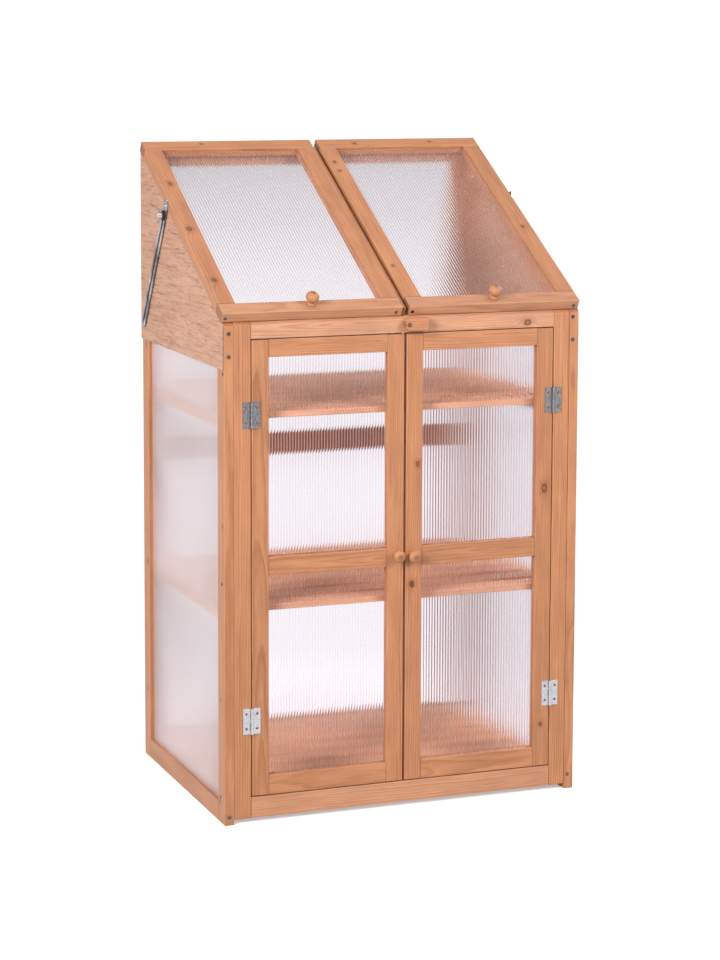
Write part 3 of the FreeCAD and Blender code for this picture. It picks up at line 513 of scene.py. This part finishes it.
def metal_material(name, base, dark, rough, scale, bump=0.15, metallic=1.0, spangle=False, streak=(1, 1, 1), upper=None):
    """upper is the pair of colours above z = 0.5 m, where it differs."""
    g = Graph(name)
    geo = g.node("ShaderNodeTexCoord").outputs["Object"]
    x, y, z = g.xyz(geo)
    v = g.vec(g.mul(x, streak[0] * scale), g.mul(y, streak[1] * scale), g.mul(z, streak[2] * scale))
    mott, _ = g.noise(v, 1.0, 4.0, 0.6, 0.3)
    fine, _ = g.noise(v, 6.0, 2.0, 0.6)
    fac = g.step(mott, 0.36, 0.68)
    if spangle:
        vor = g.node("ShaderNodeTexVoronoi", {"Vector": v, "Scale": 1.6}, feature="F1")
        cell = g.xyz(vor.outputs["Color"])[0]
        fac = g.m("MULTIPLY_ADD", cell, 0.4, g.mul(fac, 0.6))
    if upper:
        high = g.step(z, 0.49, 0.51)
        base, dark = g.mix(high, base, upper[0]), g.mix(high, dark, upper[1])
    colour = g.mix(fac, dark, base)
    colour = g.mix(g.mul(g.step(fine, 0.35, 0.7), 0.25), colour, base)
    r = g.m("MULTIPLY_ADD", fac, -0.12, rough + 0.08)
    r = g.m("MULTIPLY_ADD", fine, 0.08, r)
    bsdf = g.node("ShaderNodeBsdfPrincipled", {"Base Color": colour, "Roughness": r,
                                               "Normal": g.bump(g.add(fine, g.mul(mott, 0.5)), bump, 0.0002)})
    bsdf.inputs["Metallic"].default_value = metallic
    return g.out(bsdf.outputs["BSDF"])


def plastic_material(name, base, pale):
    g = Graph(name)
    geo = g.node("ShaderNodeTexCoord").outputs["Object"]
    mott, _ = g.noise(geo, 240.0, 3.0, 0.6)
    fine, _ = g.noise(geo, 1400.0, 2.0, 0.6)
    colour = g.mix(g.mul(g.step(mott, 0.4, 0.7), 0.5), base, pale)
    bsdf = g.node("ShaderNodeBsdfPrincipled", {"Base Color": colour, "Roughness": g.m("MULTIPLY_ADD", mott, 0.2, 0.35),
                                               "Normal": g.bump(fine, 0.2, 0.0002)})
    return g.out(bsdf.outputs["BSDF"])


EARLY, LATE, CORE = srgb(194, 134, 95), srgb(146, 84, 50), srgb(50, 22, 12)
SAP_EARLY, SAP_LATE = srgb(208, 156, 125), srgb(166, 104, 70)
FIR = wood_material("stained_fir", EARLY, LATE, CORE, SAP_EARLY, SAP_LATE)
# shelf wood paler than the frame: partly its own colour, partly painted light for the interior lit through the hazy
# glazing
SHELF = wood_material("shelf_fir", srgb(232, 178, 144), srgb(190, 132, 98), CORE, SAP_EARLY, SAP_LATE, contrast=0.5)
TURNED = wood_material("turned_beech", srgb(186, 128, 88), srgb(164, 104, 66), CORE, SAP_EARLY, SAP_LATE, pitch=2.6,
                       contrast=0.3)
PLY = plywood_material("birch_plywood", srgb(178, 128, 102), srgb(128, 80, 62), srgb(200, 156, 132))
SHEET = twin_wall_material("twin_wall_sheet")
ZINC = metal_material("galvanised_zinc", srgb(214, 214, 218), srgb(160, 162, 168), 0.36, 420.0, spangle=True,
                      upper=(srgb(168, 168, 170), srgb(66, 66, 70)))
COPPER = metal_material("coppered_screw", srgb(190, 130, 108), srgb(112, 66, 54), 0.36, 500.0)
STEEL = metal_material("bright_steel", srgb(238, 238, 242), srgb(176, 178, 186), 0.22, 160.0, streak=(1, 1, 0.25))
SCREW = metal_material("plated_screw", srgb(146, 134, 130), srgb(58, 50, 50), 0.36, 500.0)
STAY = metal_material("stay_steel", srgb(206, 206, 212), srgb(58, 58, 64), 0.2, 130.0, streak=(1, 0.2, 0.12))
BLACK = plastic_material("black_clamp_plastic", srgb(26, 26, 30), srgb(52, 52, 58))

# ---------------------------------------------------------------- side panels
FRONT_SCREWS = {-1: (980.0, 935.0, 16.0), 1: (987.0, 940.0, 30.0)}
FRONT_SCREW_X = {-1: -370.0, 1: 367.0}
SIDE_SCREWS = ((8.0, 901.0), (17.0, 484.0), (26.0, 52.0))
POST_KNOTS = {"left_front_post": ((42.0, 30.0, 3.2), (600.0, 12.0, 2.4), (250.0, 24.0, 2.6)),
              "left_rear_post": ((900.0, 16.0, 3.2), (430.0, 12.0, 3.4), (150.0, 20.0, 2.6)),
              "right_front_post": ((700.0, 20.0, 2.8), (300.0, 12.0, 2.2)),
              "right_rear_post": ((1050.0, 20.0, 3.6), (520.0, 14.0, 3.0))}
for sign, side in ((-1, "left"), (1, "right")):
    x0, x1 = sorted((sign * XI, sign * XO))
    front_holes = [((FRONT_SCREW_X[sign], 0, z), (0, 1, 0), 4.1) for z in FRONT_SCREWS[sign]]
    side_holes = [((sign * XO, y, z), (-sign, 0, 0), 4.1) for y, z in SIDE_SCREWS]
    for name, profile, holes in (
            ("front_post", [(0, 0), (POST_D, 0), (POST_D, slope_z(POST_D)), (0, slope_z(0))], front_holes + side_holes),
            ("rear_post", [(DEPTH - POST_D, 0), (DEPTH, 0), (DEPTH, slope_z(DEPTH)),
                           (DEPTH - POST_D, slope_z(DEPTH - POST_D))], ())):
        p = Part(f"{side}_{name}_wood")
        stick(p, [(x0, y, z) for y, z in profile], (x1 - x0, 0, 0), Z, Y, f"{side}_{name}", holes=holes,
              knots=POST_KNOTS[f"{side}_{name}"])
        p.build(FIR, "carcass", [f"{side}_{name}"])
    p = Part(f"{side}_side_rails_wood")
    for label, z0, z1 in (("bottom", 0, SIDE_BOTTOM_H), ("waist", WAIST_LOW, WAIST_TOP)):
        pts, ext = box_points(x0, x1, POST_D, DEPTH - POST_D, z0, z1)
        stick(p, pts, ext, Y, Z, f"{side}_{label}_rail")
    drop = SLOPE_RAIL / COS
    ya, yb = POST_D, DEPTH - POST_D
    stick(p, [(x0, ya, slope_z(ya) - drop), (x0, yb, slope_z(yb) - drop), (x0, yb, slope_z(yb)), (x0, ya, slope_z(ya))],
          (x1 - x0, 0, 0), UPHILL, NORMAL, f"{side}_slope_rail")
    p.build(FIR, "carcass", [f"{side}_side_rails"])
    b0, b1 = sorted((sign * XO, sign * (XO + BOARD_T)))
    p = Part(f"{side}_gable_plywood")
    by = BOARD_INSET if sign > 0 else 0.0
    verts, faces = prism_mesh([(b0, by, GABLE_LOW), (b0, DEPTH, GABLE_LOW), (b0, DEPTH, slope_z(DEPTH)),
                               (b0, by, slope_z(by))], (b1 - b0, 0, 0), 0.35, 1)
    wood_member(p, verts, faces, Y, Z, f"{side}_gable")
    p.build(PLY, "carcass", [f"{side}_gable_board"])

# ---------------------------------------------------------------- front frame
def front_points(x0, x1, z0):
    return [(x0, 0, z0), (x0, PANEL_T, z0), (x0, PANEL_T, slope_z(PANEL_T) + FRONT_RISE),
            (x0, 0, FRONT_H + FRONT_RISE)], (x1 - x0, 0, 0)


p = Part("front_stiles_wood")
for sign in (-1, 1):
    x0, x1 = sorted((sign * INNER, sign * (XI - (0.9 if sign > 0 else 0.3))))
    pts, ext = front_points(x0, x1, FRAME_LOW)
    # painted light: tone 0.09 lightens the right front stile
    stick(p, pts, ext, Z, X, f"front_stile_{sign}", tone=0.09 if sign > 0 else 0.0)
p.build(FIR, "carcass", ["front_stiles"])
p = Part("front_top_rail_wood")
pts, ext = front_points(-INNER, INNER, FRONT_TOP_LOW)
stick(p, pts, ext, X, Z, "front_top_rail", tone=0.02, flat_sawn=True, sap=0.9, knots=((590.0, 11.0, 5.6),))
p.build(FIR, "carcass", ["front_top_rail"])
p = Part("front_bottom_rail_wood")
pts, ext = box_points(-INNER, INNER, 0, PANEL_T, FRAME_LOW, FRONT_BOTTOM_TOP)
stick(p, pts, ext, X, Z, "front_bottom_rail", tone=0.02, sap=0.6)
p.build(FIR, "carcass", ["front_bottom_rail"])

# ---------------------------------------------------------------- back frame
p = Part("back_stiles_wood")
for sign in (-1, 1):
    x0, x1 = sorted((sign * INNER, sign * XI))
    stick(p, [(x0, BACK_INNER, FRAME_LOW), (x0, DEPTH, FRAME_LOW), (x0, DEPTH, slope_z(DEPTH)),
              (x0, BACK_INNER, slope_z(BACK_INNER))], (x1 - x0, 0, 0), Z, X, f"back_stile_{sign}",
          knots=((700.0, 16.0, 3.0),))
p.build(FIR, "carcass", ["back_stiles"])
p = Part("back_rails_wood")
for z0, z1 in ((FRAME_LOW, FRONT_BOTTOM_TOP), (BACK_MID_LOW, BACK_MID_TOP)):
    pts, ext = box_points(-INNER, INNER, BACK_INNER, DEPTH, z0, z1)
    stick(p, pts, ext, X, Z, f"back_rail_{z0}")
# painted shade: tone -0.3 darkens the back top rail
stick(p, [(-INNER, BACK_INNER, BACK_TOP_LOW), (-INNER, DEPTH, BACK_TOP_LOW), (-INNER, DEPTH, slope_z(DEPTH)),
          (-INNER, BACK_INNER, slope_z(BACK_INNER))], (2 * INNER, 0, 0), X, Z, "back_top_rail", tone=-0.3)
p.build(FIR, "carcass", ["back_rails"])

# ---------------------------------------------------------------- centre rafter and tongue
drop = RAFTER_D / COS
p = Part("centre_rafter_wood")
stick(p, [(-RAFTER_W / 2, y, z) for y, z in ((PANEL_T, slope_z(PANEL_T)), (PANEL_T, slope_z(PANEL_T) - drop),
                                            (BACK_INNER, slope_z(BACK_INNER) - drop),
                                            (BACK_INNER, slope_z(BACK_INNER)))], (RAFTER_W, 0, 0), UPHILL, X,
      "centre_rafter", radius=0.8)
t0, t1 = LID_U0 + 1.5, (BACK_INNER - 1.0) / COS
stick(p, [lid_point(TONGUE_X0, u, n) for u, n in ((t0, FRONT_RISE * COS), (TONGUE_U1, FRONT_RISE * COS), (TONGUE_U1, 0),
                                                  (t1, 0), (t1, TONGUE_N), (t0, TONGUE_N))],
      (TONGUE_X1 - TONGUE_X0, 0, 0), UPHILL, NORMAL, "tongue", radius=0.4)
p.build(FIR, "carcass", ["centre_rafter"])

# ---------------------------------------------------------------- shelves
for label, top in zip(("bottom", "middle", "top"), SHELF_TOPS):
    p = Part(f"{label}_shelf_slats_wood")
    for i in range(SLATS):
        y0 = SLAT_Y0 + i * SLAT_PITCH
        pts, ext = box_points(-XI + 1, XI - 1, y0, y0 + SLAT_W, top - SLAT_T, top)
        rnd = seeded(f"{label}_slat_{i}")
        knots = [(rnd.uniform(40, 680), rnd.uniform(8, 42), rnd.uniform(2.0, 3.6)) for _ in range(rnd.choice((0, 1, 2)))]
        stick(p, pts, ext, X, Y, f"{label}_slat_{i}", knots=knots, flat_sawn=i % 2 == 0)
    p.build(SHELF, "carcass", [f"{label}_shelf_slats"])
p = Part("shelf_bearers_wood")
for top in SHELF_TOPS:
    for sign in (-1, 1):
        x0, x1 = sorted((sign * (XI - BEARER_W), sign * XI))
        pts, ext = box_points(x0, x1, PANEL_T, BACK_INNER, top - SLAT_T - BEARER_H, top - SLAT_T)
        stick(p, pts, ext, Y, Z, f"bearer_{top}_{sign}", radius=1.0)
p.build(SHELF, "carcass", ["shelf_bearers"])

# ---------------------------------------------------------------- doors
DX0, DX1 = -DOOR_OUT + DOOR_STILE, -DOOR_IN - DOOR_STILE
DOOR_KNOTS = {"right_inner": ((648.0, 25.0, 4.2), (404.0, 13.5, 5.05)), "right_outer": ((582.0, 19.0, 6.4), (88.0, 16.0, 3.4))}
for sign, side in ((-1, "left"), (1, "right")):
    def flip(a, b):
        return (a, b) if sign < 0 else (-b, -a)
    body = f"{side}_door"
    p = Part(f"{side}_door_stiles_wood")
    for label, (a, b) in (("outer", flip(-DOOR_OUT, DX0)), ("inner", flip(DX1, -DOOR_IN))):
        pts, ext = box_points(a, b, 0, PANEL_T, DOOR_LOW, DOOR_TOP)
        stick(p, pts, ext, Z, X, f"{side}_door_{label}_stile", flat_sawn=(side, label) == ("left", "outer"),
              tone=-0.11 if (side, label) == ("left", "outer") else 0.0,
              knots=DOOR_KNOTS.get(f"{side}_{label}", ()))
    p.build(FIR, body, [f"{side}_door_stiles"])
    p = Part(f"{side}_door_rails_wood")
    for label, z0, z1 in (("bottom", DOOR_LOW, DOOR_BOTTOM), ("middle", DOOR_MID_LOW, DOOR_MID_TOP),
                          ("top", DOOR_TOP_LOW, DOOR_TOP)):
        a, b = flip(DX0, DX1)
        pts, ext = box_points(a, b, 0, PANEL_T, z0, z1)
        stick(p, pts, ext, X, Z, f"{side}_door_{label}_rail", flat_sawn=True,
              tone=-0.09 if label == "middle" else 0.03)
    p.build(FIR, body, [f"{side}_door_rails"])

# ---------------------------------------------------------------- lids
for sign, side in ((-1, "left"), (1, "right")):
    def flip(a, b):
        return (a, b) if sign < 0 else (-b, -a)
    body = f"{side}_lid"
    n0, n1 = LID_GAP, LID_GAP + LID_T
    u0, u1 = LID_U0 + LID_BOTTOM, LID_U1 - LID_TOP
    p = Part(f"{side}_lid_stiles_wood")
    knots = {("left", "outer"): ((80.0, 16.0, 5.0), (262.0, 15.0, 5.6), (432.0, 20.0, 4.6)),
             ("right", "inner"): ((505.0, 16.0, 3.2), (470.0, 16.0, 2.8), (110.0, 14.0, 2.8)),
             ("right", "outer"): ((240.0, 16.0, 3.2),)}
    out = LID_OUT if sign < 0 else LID_OUT_RIGHT
    for label, (a, b) in (("outer", flip(-out, -out + LID_STILE)), ("inner", flip(-LID_IN - LID_STILE, -LID_IN))):
        pts, ext = lid_points(a, b, u0, u1, n0, n1)
        stick(p, pts, ext, UPHILL, X, f"{side}_lid_{label}_stile", radius=1.6, knots=knots.get((side, label), ()))
    p.build(FIR, body, [f"{side}_lid_stiles"])
    p = Part(f"{side}_lid_rails_wood")
    a, b = flip(-out, -LID_IN)
    screws = (-376.0, -20.0) if sign < 0 else (15.0, 369.0)
    holes = [(lid_point(x, LID_U0, 11.3), UPHILL, 3.4) for x in screws]
    pts, ext = lid_points(a, b, LID_U0, u0, n0, n1)
    stick(p, pts, ext, X, UPHILL, f"{side}_lid_bottom_rail", radius=2.2, holes=holes, sap=0.5, flat_sawn=True)
    pts, ext = lid_points(a, b, u1, LID_U1, n0, n1)
    stick(p, pts, ext, X, UPHILL, f"{side}_lid_top_rail", radius=1.6,
          knots=((85.0, 14.0, 3.2), (262.0, 18.0, 3.0)) if sign > 0 else ((130.0, 20.0, 2.4),))
    p.build(FIR, body, [f"{side}_lid_rails"])


# ---------------------------------------------------------------- fluted sheets
FLUTE_DIP = 0.275


def fluted(name, body, node, panels, pitch=6.0, cuts=12):
    """panels: (corner, axis across the flutes, length across, axis along, length along, normal). Each flute is
    thinnest in its middle, on both faces, and thick at the webs, where the faces turn up steeply."""
    part = Part(name)
    for corner, across, wide, along, long_, normal in panels:
        corner, across, along, normal = Vector(corner), Vector(across), Vector(along), Vector(normal)
        count = max(1, round(wide / pitch))
        p_ = wide / count
        us, dips, dip = [], [], FLUTE_DIP * (0.5 if body.endswith("_lid") else 1.0)
        for i in range(count):
            for k in range(cuts):
                s = k / cuts
                h = 0.5 * pitch * abs(2.0 * s - 1.0)
                us.append((i + s) * p_)
                dips.append(dip * (1.0 - (h / (0.5 * pitch)) ** 2))
        us.append(wide)
        dips.append(0.0)
        m = len(us)
        verts, flute, pos = [], [], []
        for face_n, sgn in ((GLAZE_T, -1.0), (0.0, 1.0)):
            for v in (0.0, long_):
                for u, low in zip(us, dips):
                    verts.append(corner + across * u + along * v + normal * (face_n + sgn * low))
                    flute.append(u / p_)
                    pos.append((u, v, face_n))
        faces, smooth = [], []
        for i in range(m - 1):
            faces.append((i, i + 1, m + i + 1, m + i))
            faces.append((2 * m + i, 3 * m + i, 3 * m + i + 1, 2 * m + i + 1))
            smooth += [True, True]
            faces.append((2 * m + i, 2 * m + i + 1, i + 1, i))
            faces.append((m + i, m + i + 1, 3 * m + i + 1, 3 * m + i))
            smooth += [False, False]
        faces.append((0, m, 3 * m, 2 * m))
        faces.append((m - 1, 3 * m - 1 - m, 4 * m - 1, 3 * m - 1))
        faces[-1] = (m - 1, 3 * m - 1, 4 * m - 1, 2 * m - 1)
        smooth += [False, False]
        part.add(verts, faces, smooth, flute=flute, pos=pos, roof=[float(body.endswith("_lid"))] * len(verts))
    obj = part.build(SHEET, body, [node])
    bm = bmesh.new()
    bm.from_mesh(obj.data)
    bmesh.ops.recalc_face_normals(bm, faces=bm.faces)
    for e in bm.edges:
        if len(e.link_faces) == 2 and e.link_faces[0].smooth and e.link_faces[1].smooth:
            n_a, n_b = e.link_faces[0].normal, e.link_faces[1].normal
            e.smooth = n_a.angle(n_b) < math.radians(30.0)
        else:
            e.smooth = False
    bm.to_mesh(obj.data)
    bm.free()
    return obj


TUCK = 2.0  # how far a sheet runs into its grooves
gx0 = HALF_W - PANEL_T / 2 - GLAZE_T / 2
sy0, sy1, sz0, sz1 = POST_D - TUCK, DEPTH - POST_D + TUCK, SIDE_BOTTOM_H - TUCK, WAIST_LOW + TUCK
fluted("side_glazing_sheets", "carcass", "side_glazing",
       [((s * gx0, sy0, sz0), Y, sy1 - sy0, Z, sz1 - sz0, X * s) for s in (-1, 1)])
gy0 = BACK_INNER + PANEL_T / 2 - GLAZE_T / 2
fluted("back_glazing_sheets", "carcass", "back_glazing",
       [((-INNER - TUCK, gy0, z0 - TUCK), X, 2 * (INNER + TUCK), Z, z1 - z0 + 2 * TUCK, Y)
        for z0, z1 in ((FRONT_BOTTOM_TOP, BACK_MID_LOW), (BACK_MID_TOP, BACK_TOP_LOW))])
dy0 = PANEL_T / 2 - GLAZE_T / 2
for sign, side in ((-1, "left"), (1, "right")):
    a, b = (DX0 - TUCK, DX1 + TUCK) if sign < 0 else (-DX1 - TUCK, -DX0 + TUCK)
    fluted(f"{side}_door_glazing_sheets", f"{side}_door", f"{side}_door_glazing",
           [((a, dy0, z0 - TUCK), X, b - a, Z, z1 - z0 + 2 * TUCK, Y)
            for z0, z1 in ((DOOR_BOTTOM, DOOR_MID_LOW), (DOOR_MID_TOP, DOOR_TOP_LOW))])
    out = LID_OUT if sign < 0 else LID_OUT_RIGHT
    lx0, lx1 = -out + LID_STILE - TUCK, -LID_IN - LID_STILE + TUCK
    a, b = (lx0, lx1) if sign < 0 else (-lx1, -lx0)
    lu0, lu1 = LID_U0 + LID_BOTTOM - TUCK, LID_U1 - LID_TOP + TUCK
    fluted(f"{side}_lid_glazing_sheet", f"{side}_lid", f"{side}_lid_glazing",
           [(lid_point(a, lu0, LID_GLAZE_N), X, b - a, UPHILL, lu1 - lu0, NORMAL)])


# ---------------------------------------------------------------- turned knobs
def arc3(a, b, c, steps=7):
    """Points of the circle through a, b and c, in order."""
    (ax, ay), (bx, by), (cx, cy) = a, b, c
    d = 2 * (ax * (by - cy) + bx * (cy - ay) + cx * (ay - by))
    ux = ((ax * ax + ay * ay) * (by - cy) + (bx * bx + by * by) * (cy - ay) + (cx * cx + cy * cy) * (ay - by)) / d
    uy = ((ax * ax + ay * ay) * (cx - bx) + (bx * bx + by * by) * (ax - cx) + (cx * cx + cy * cy) * (bx - ax)) / d
    r = math.hypot(ax - ux, ay - uy)
    t0, t1, t2 = (math.atan2(q[1] - uy, q[0] - ux) for q in (a, b, c))
    while t1 - t0 > math.pi: t1 -= 2 * math.pi
    while t1 - t0 < -math.pi: t1 += 2 * math.pi
    while t2 - t1 > math.pi: t2 -= 2 * math.pi
    while t2 - t1 < -math.pi: t2 += 2 * math.pi
    return [(ux + r * math.cos(t0 + (t2 - t0) * i / steps), uy + r * math.sin(t0 + (t2 - t0) * i / steps))
            for i in range(steps + 1)]


def knob(name, body, node, profile, at, direction):
    verts, faces = lathe_mesh(profile, at, direction, 40)
    p = Part(name)
    z = Vector(direction).normalized()
    wood_member(p, verts, faces, z, z.orthogonal(), name, smooth=True)
    return p.build(TURNED, body, [node])


k = 27.0
door_profile = ([(0, 0.0), (7.4, 0.0)] + arc3((7.4, 0.0), (5.6, 6.0), (7.2, k - 13.6))[1:] + [(11.2, k - 11.6)]
                + arc3((11.2, k - 11.6), (12.5, k - 8.8), (11.4, k - 5.6))[1:]
                + arc3((11.4, k - 5.6), (7.0, k - 1.6), (1.2, k))[1:] + [(0, k)])
ball = 13.5
lid_profile = ([(0, 0.0), (8.4, 0.0)] + arc3((8.4, 0.0), (9.2, 1.8), (8.2, 3.4), 5)[1:]
               + arc3((8.2, 3.4), (6.9, 6.6), (8.6, 9.8), 5)[1:] + arc3((8.6, 9.8), (ball, 18.2), (8.0, 26.6), 14)[1:]
               + arc3((8.0, 26.6), (4.6, 28.6), (1.0, 29.4), 5)[1:] + [(0, 29.4)])
knob("left_door_knob_turned", "left_door", "left_door_knob", door_profile, (-18.0, 0, 521.0), (0, -1, 0))
knob("right_door_knob_turned", "right_door", "right_door_knob", door_profile, (15.0, 0, 518.0), (0, -1, 0))
for sign, side in ((-1, "left"), (1, "right")):
    knob(f"{side}_lid_knob_turned", f"{side}_lid", f"{side}_lid_knob", lid_profile,
         lid_point(sign * (LID_OUT + LID_IN) / 2, LID_KNOB_U, LID_GAP + LID_T), NORMAL)

# ---------------------------------------------------------------- turn button
up, w_ = BUTTON_UP, BUTTON_W / 2
edge_x = BUTTON_X - up + 5.0
outline = ([(edge_x, BUTTON_Z - w_), (BUTTON_X + BUTTON_L - up, BUTTON_Z - w_), (BUTTON_X + BUTTON_L - up, BUTTON_Z + w_),
            (edge_x, BUTTON_Z + w_)]
           + arc3((edge_x, BUTTON_Z + w_), (BUTTON_X - up, BUTTON_Z), (edge_x, BUTTON_Z - w_), 8)[1:-1])
p = Part("turn_button_wood")
stick(p, [(x, -BUTTON_T - 0.3, z) for x, z in outline], (0, BUTTON_T, 0), X, Z, "turn_button", radius=1.4, tone=0.02)
p.build(FIR, "turn_button", ["turn_button"])

# ---------------------------------------------------------------- carried-over metal parts
for node, mat in (("door_hinge_frame_leaves", ZINC), ("left_door_hinge_leaves", ZINC), ("right_door_hinge_leaves", ZINC),
                  ("door_hinge_frame_screws", COPPER), ("left_door_hinge_screws", COPPER),
                  ("right_door_hinge_screws", COPPER), ("lid_hinge_frame_leaves", ZINC), ("left_lid_hinge_leaves", ZINC),
                  ("right_lid_hinge_leaves", ZINC), ("frame_screws", SCREW), ("gable_nails", SCREW),
                  ("stay_bolts", STEEL), ("stay_clamp_blocks", BLACK), ("left_lid_screws", SCREW),
                  ("right_lid_screws", SCREW), ("left_stay_pivot_screw", STEEL), ("right_stay_pivot_screw", STEEL),
                  ("left_stay_bar", STAY), ("right_stay_bar", STAY), ("left_wing_nut", STEEL),
                  ("right_wing_nut", STEEL)):
    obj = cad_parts[node]
    if not obj.material_slots:
        obj.data.materials.append(mat)
    for s in obj.material_slots:
        s.material = mat

# ---------------------------------------------------------------- floor, light, camera
g = Graph("pale_floor")
pos = g.node("ShaderNodeTexCoord").outputs["Object"]
mott, _ = g.noise(pos, 3.0, 3.0, 0.6)
tint = g.mix(g.mul(mott, 0.3), (0.93, 0.93, 0.93), (0.90, 0.90, 0.905))
dif = g.node("ShaderNodeBsdfDiffuse", {"Color": tint}).outputs["BSDF"]
fx, fy, fz = g.xyz(pos)
away = g.m("SQRT", g.add(g.mul(fx, fx), g.mul(fy, fy)))
glow = g.node("ShaderNodeEmission", {"Color": (1, 1, 1, 1), "Strength": 0.38}).outputs["Emission"]
near = g.node("ShaderNodeAddShader", {0: dif, 1: glow}).outputs["Shader"]
plain = g.node("ShaderNodeEmission", {"Color": (1, 1, 1, 1), "Strength": 1.1}).outputs["Emission"]
bright = g.node("ShaderNodeMixShader", {0: g.step(away, 0.55, 1.15), 1: near, 2: plain}).outputs["Shader"]
dim = g.node("ShaderNodeBsdfDiffuse", {"Color": (0.38, 0.375, 0.37, 1)}).outputs["BSDF"]
bounce = g.node("ShaderNodeLightPath").outputs["Is Diffuse Ray"]
floor_mat = g.out(g.node("ShaderNodeMixShader", {0: bounce, 1: bright, 2: dim}).outputs["Shader"])
mesh = bpy.data.meshes.new("studio_floor")
mesh.from_pydata([(-14, -12, 0), (14, -12, 0), (14, 14, 0), (-14, 14, 0)], [], [(0, 1, 2, 3)])
mesh.materials.append(floor_mat)
floor = bpy.data.objects.new("studio_floor", mesh)
SCENE.collection.objects.link(floor)

world = bpy.data.worlds.new("studio")
SCENE.world = world
world.use_nodes = True
wt = world.node_tree
wt.nodes.clear()
bg = wt.nodes.new("ShaderNodeBackground")
bg.inputs["Color"].default_value = (1, 1, 1, 1)
lp = wt.nodes.new("ShaderNodeLightPath")
mr = wt.nodes.new("ShaderNodeMapRange")
mr.inputs["From Min"].default_value = 0.0
mr.inputs["From Max"].default_value = 1.0
mr.inputs["To Min"].default_value = 1.1
mr.inputs["To Max"].default_value = 0.36
wt.links.new(lp.outputs["Is Diffuse Ray"], mr.inputs["Value"])
mr2 = wt.nodes.new("ShaderNodeMapRange")
mr2.inputs["To Max"].default_value = 0.6
wt.links.new(lp.outputs["Is Glossy Ray"], mr2.inputs["Value"])
wt.links.new(mr.outputs["Result"], mr2.inputs["To Min"])
wt.links.new(mr2.outputs["Result"], bg.inputs["Strength"])
wo = wt.nodes.new("ShaderNodeOutputWorld")
wt.links.new(bg.outputs["Background"], wo.inputs["Surface"])


def area(name, at, target, size, power, colour=(1, 1, 1)):
    light = bpy.data.lights.new(name, "AREA")
    light.shape, light.size, light.size_y = "RECTANGLE", size[0], size[1]
    light.energy, light.color = power, colour
    obj = bpy.data.objects.new(name, light)
    obj.location = at
    obj.rotation_euler = (Vector(target) - Vector(at)).to_track_quat("-Z", "Y").to_euler()
    SCENE.collection.objects.link(obj)
    return obj


area("softbox_left", (-3.8, -2.6, 2.4), (0, 0, 0.7), (1.6, 1.6), 228)
area("softbox_right", (2.2, -3.5, 2.6), (0, 0, 0.7), (1.6, 1.6), 104)
area("softbox_top", (0.1, -0.3, 4.0), (0, 0, 0.6), (2.2, 2.2), 16)
area("fill_behind", (3.4, 2.2, 2.3), (0, 0, 0.6), (1.8, 1.8), 95)

YAW, PITCH, ROLL = 0.366683, 0.116363, -0.003828
forward = Vector((math.sin(YAW) * math.cos(PITCH), math.cos(YAW) * math.cos(PITCH), -math.sin(PITCH)))
right = Vector((math.cos(YAW), -math.sin(YAW), 0))
above = Vector((math.sin(YAW) * math.sin(PITCH), math.cos(YAW) * math.sin(PITCH), math.cos(PITCH)))
r2 = right * math.cos(ROLL) - above * math.sin(ROLL)
u2 = right * math.sin(ROLL) + above * math.cos(ROLL)
cam_data = bpy.data.cameras.new("photo_camera")
cam_data.sensor_width, cam_data.sensor_fit = 36.0, "AUTO"
cam_data.lens = 2593.78 / 960.0 * 36.0
cam_data.shift_y = -150.0 / 960.0
cam_data.clip_start, cam_data.clip_end = 0.1, 60.0
cam = bpy.data.objects.new("photo_camera", cam_data)
rot = Matrix((r2, u2, -forward)).transposed().to_4x4()
cam.matrix_world = Matrix.Translation((-1.92027, -5.01466, 1.57193)) @ rot
SCENE.collection.objects.link(cam)
SCENE.camera = cam
SCENE.view_settings.view_transform = "Standard"
SCENE.view_settings.look = "None"

# ---------------------------------------------------------------- end
bpy.context.view_layer.update()
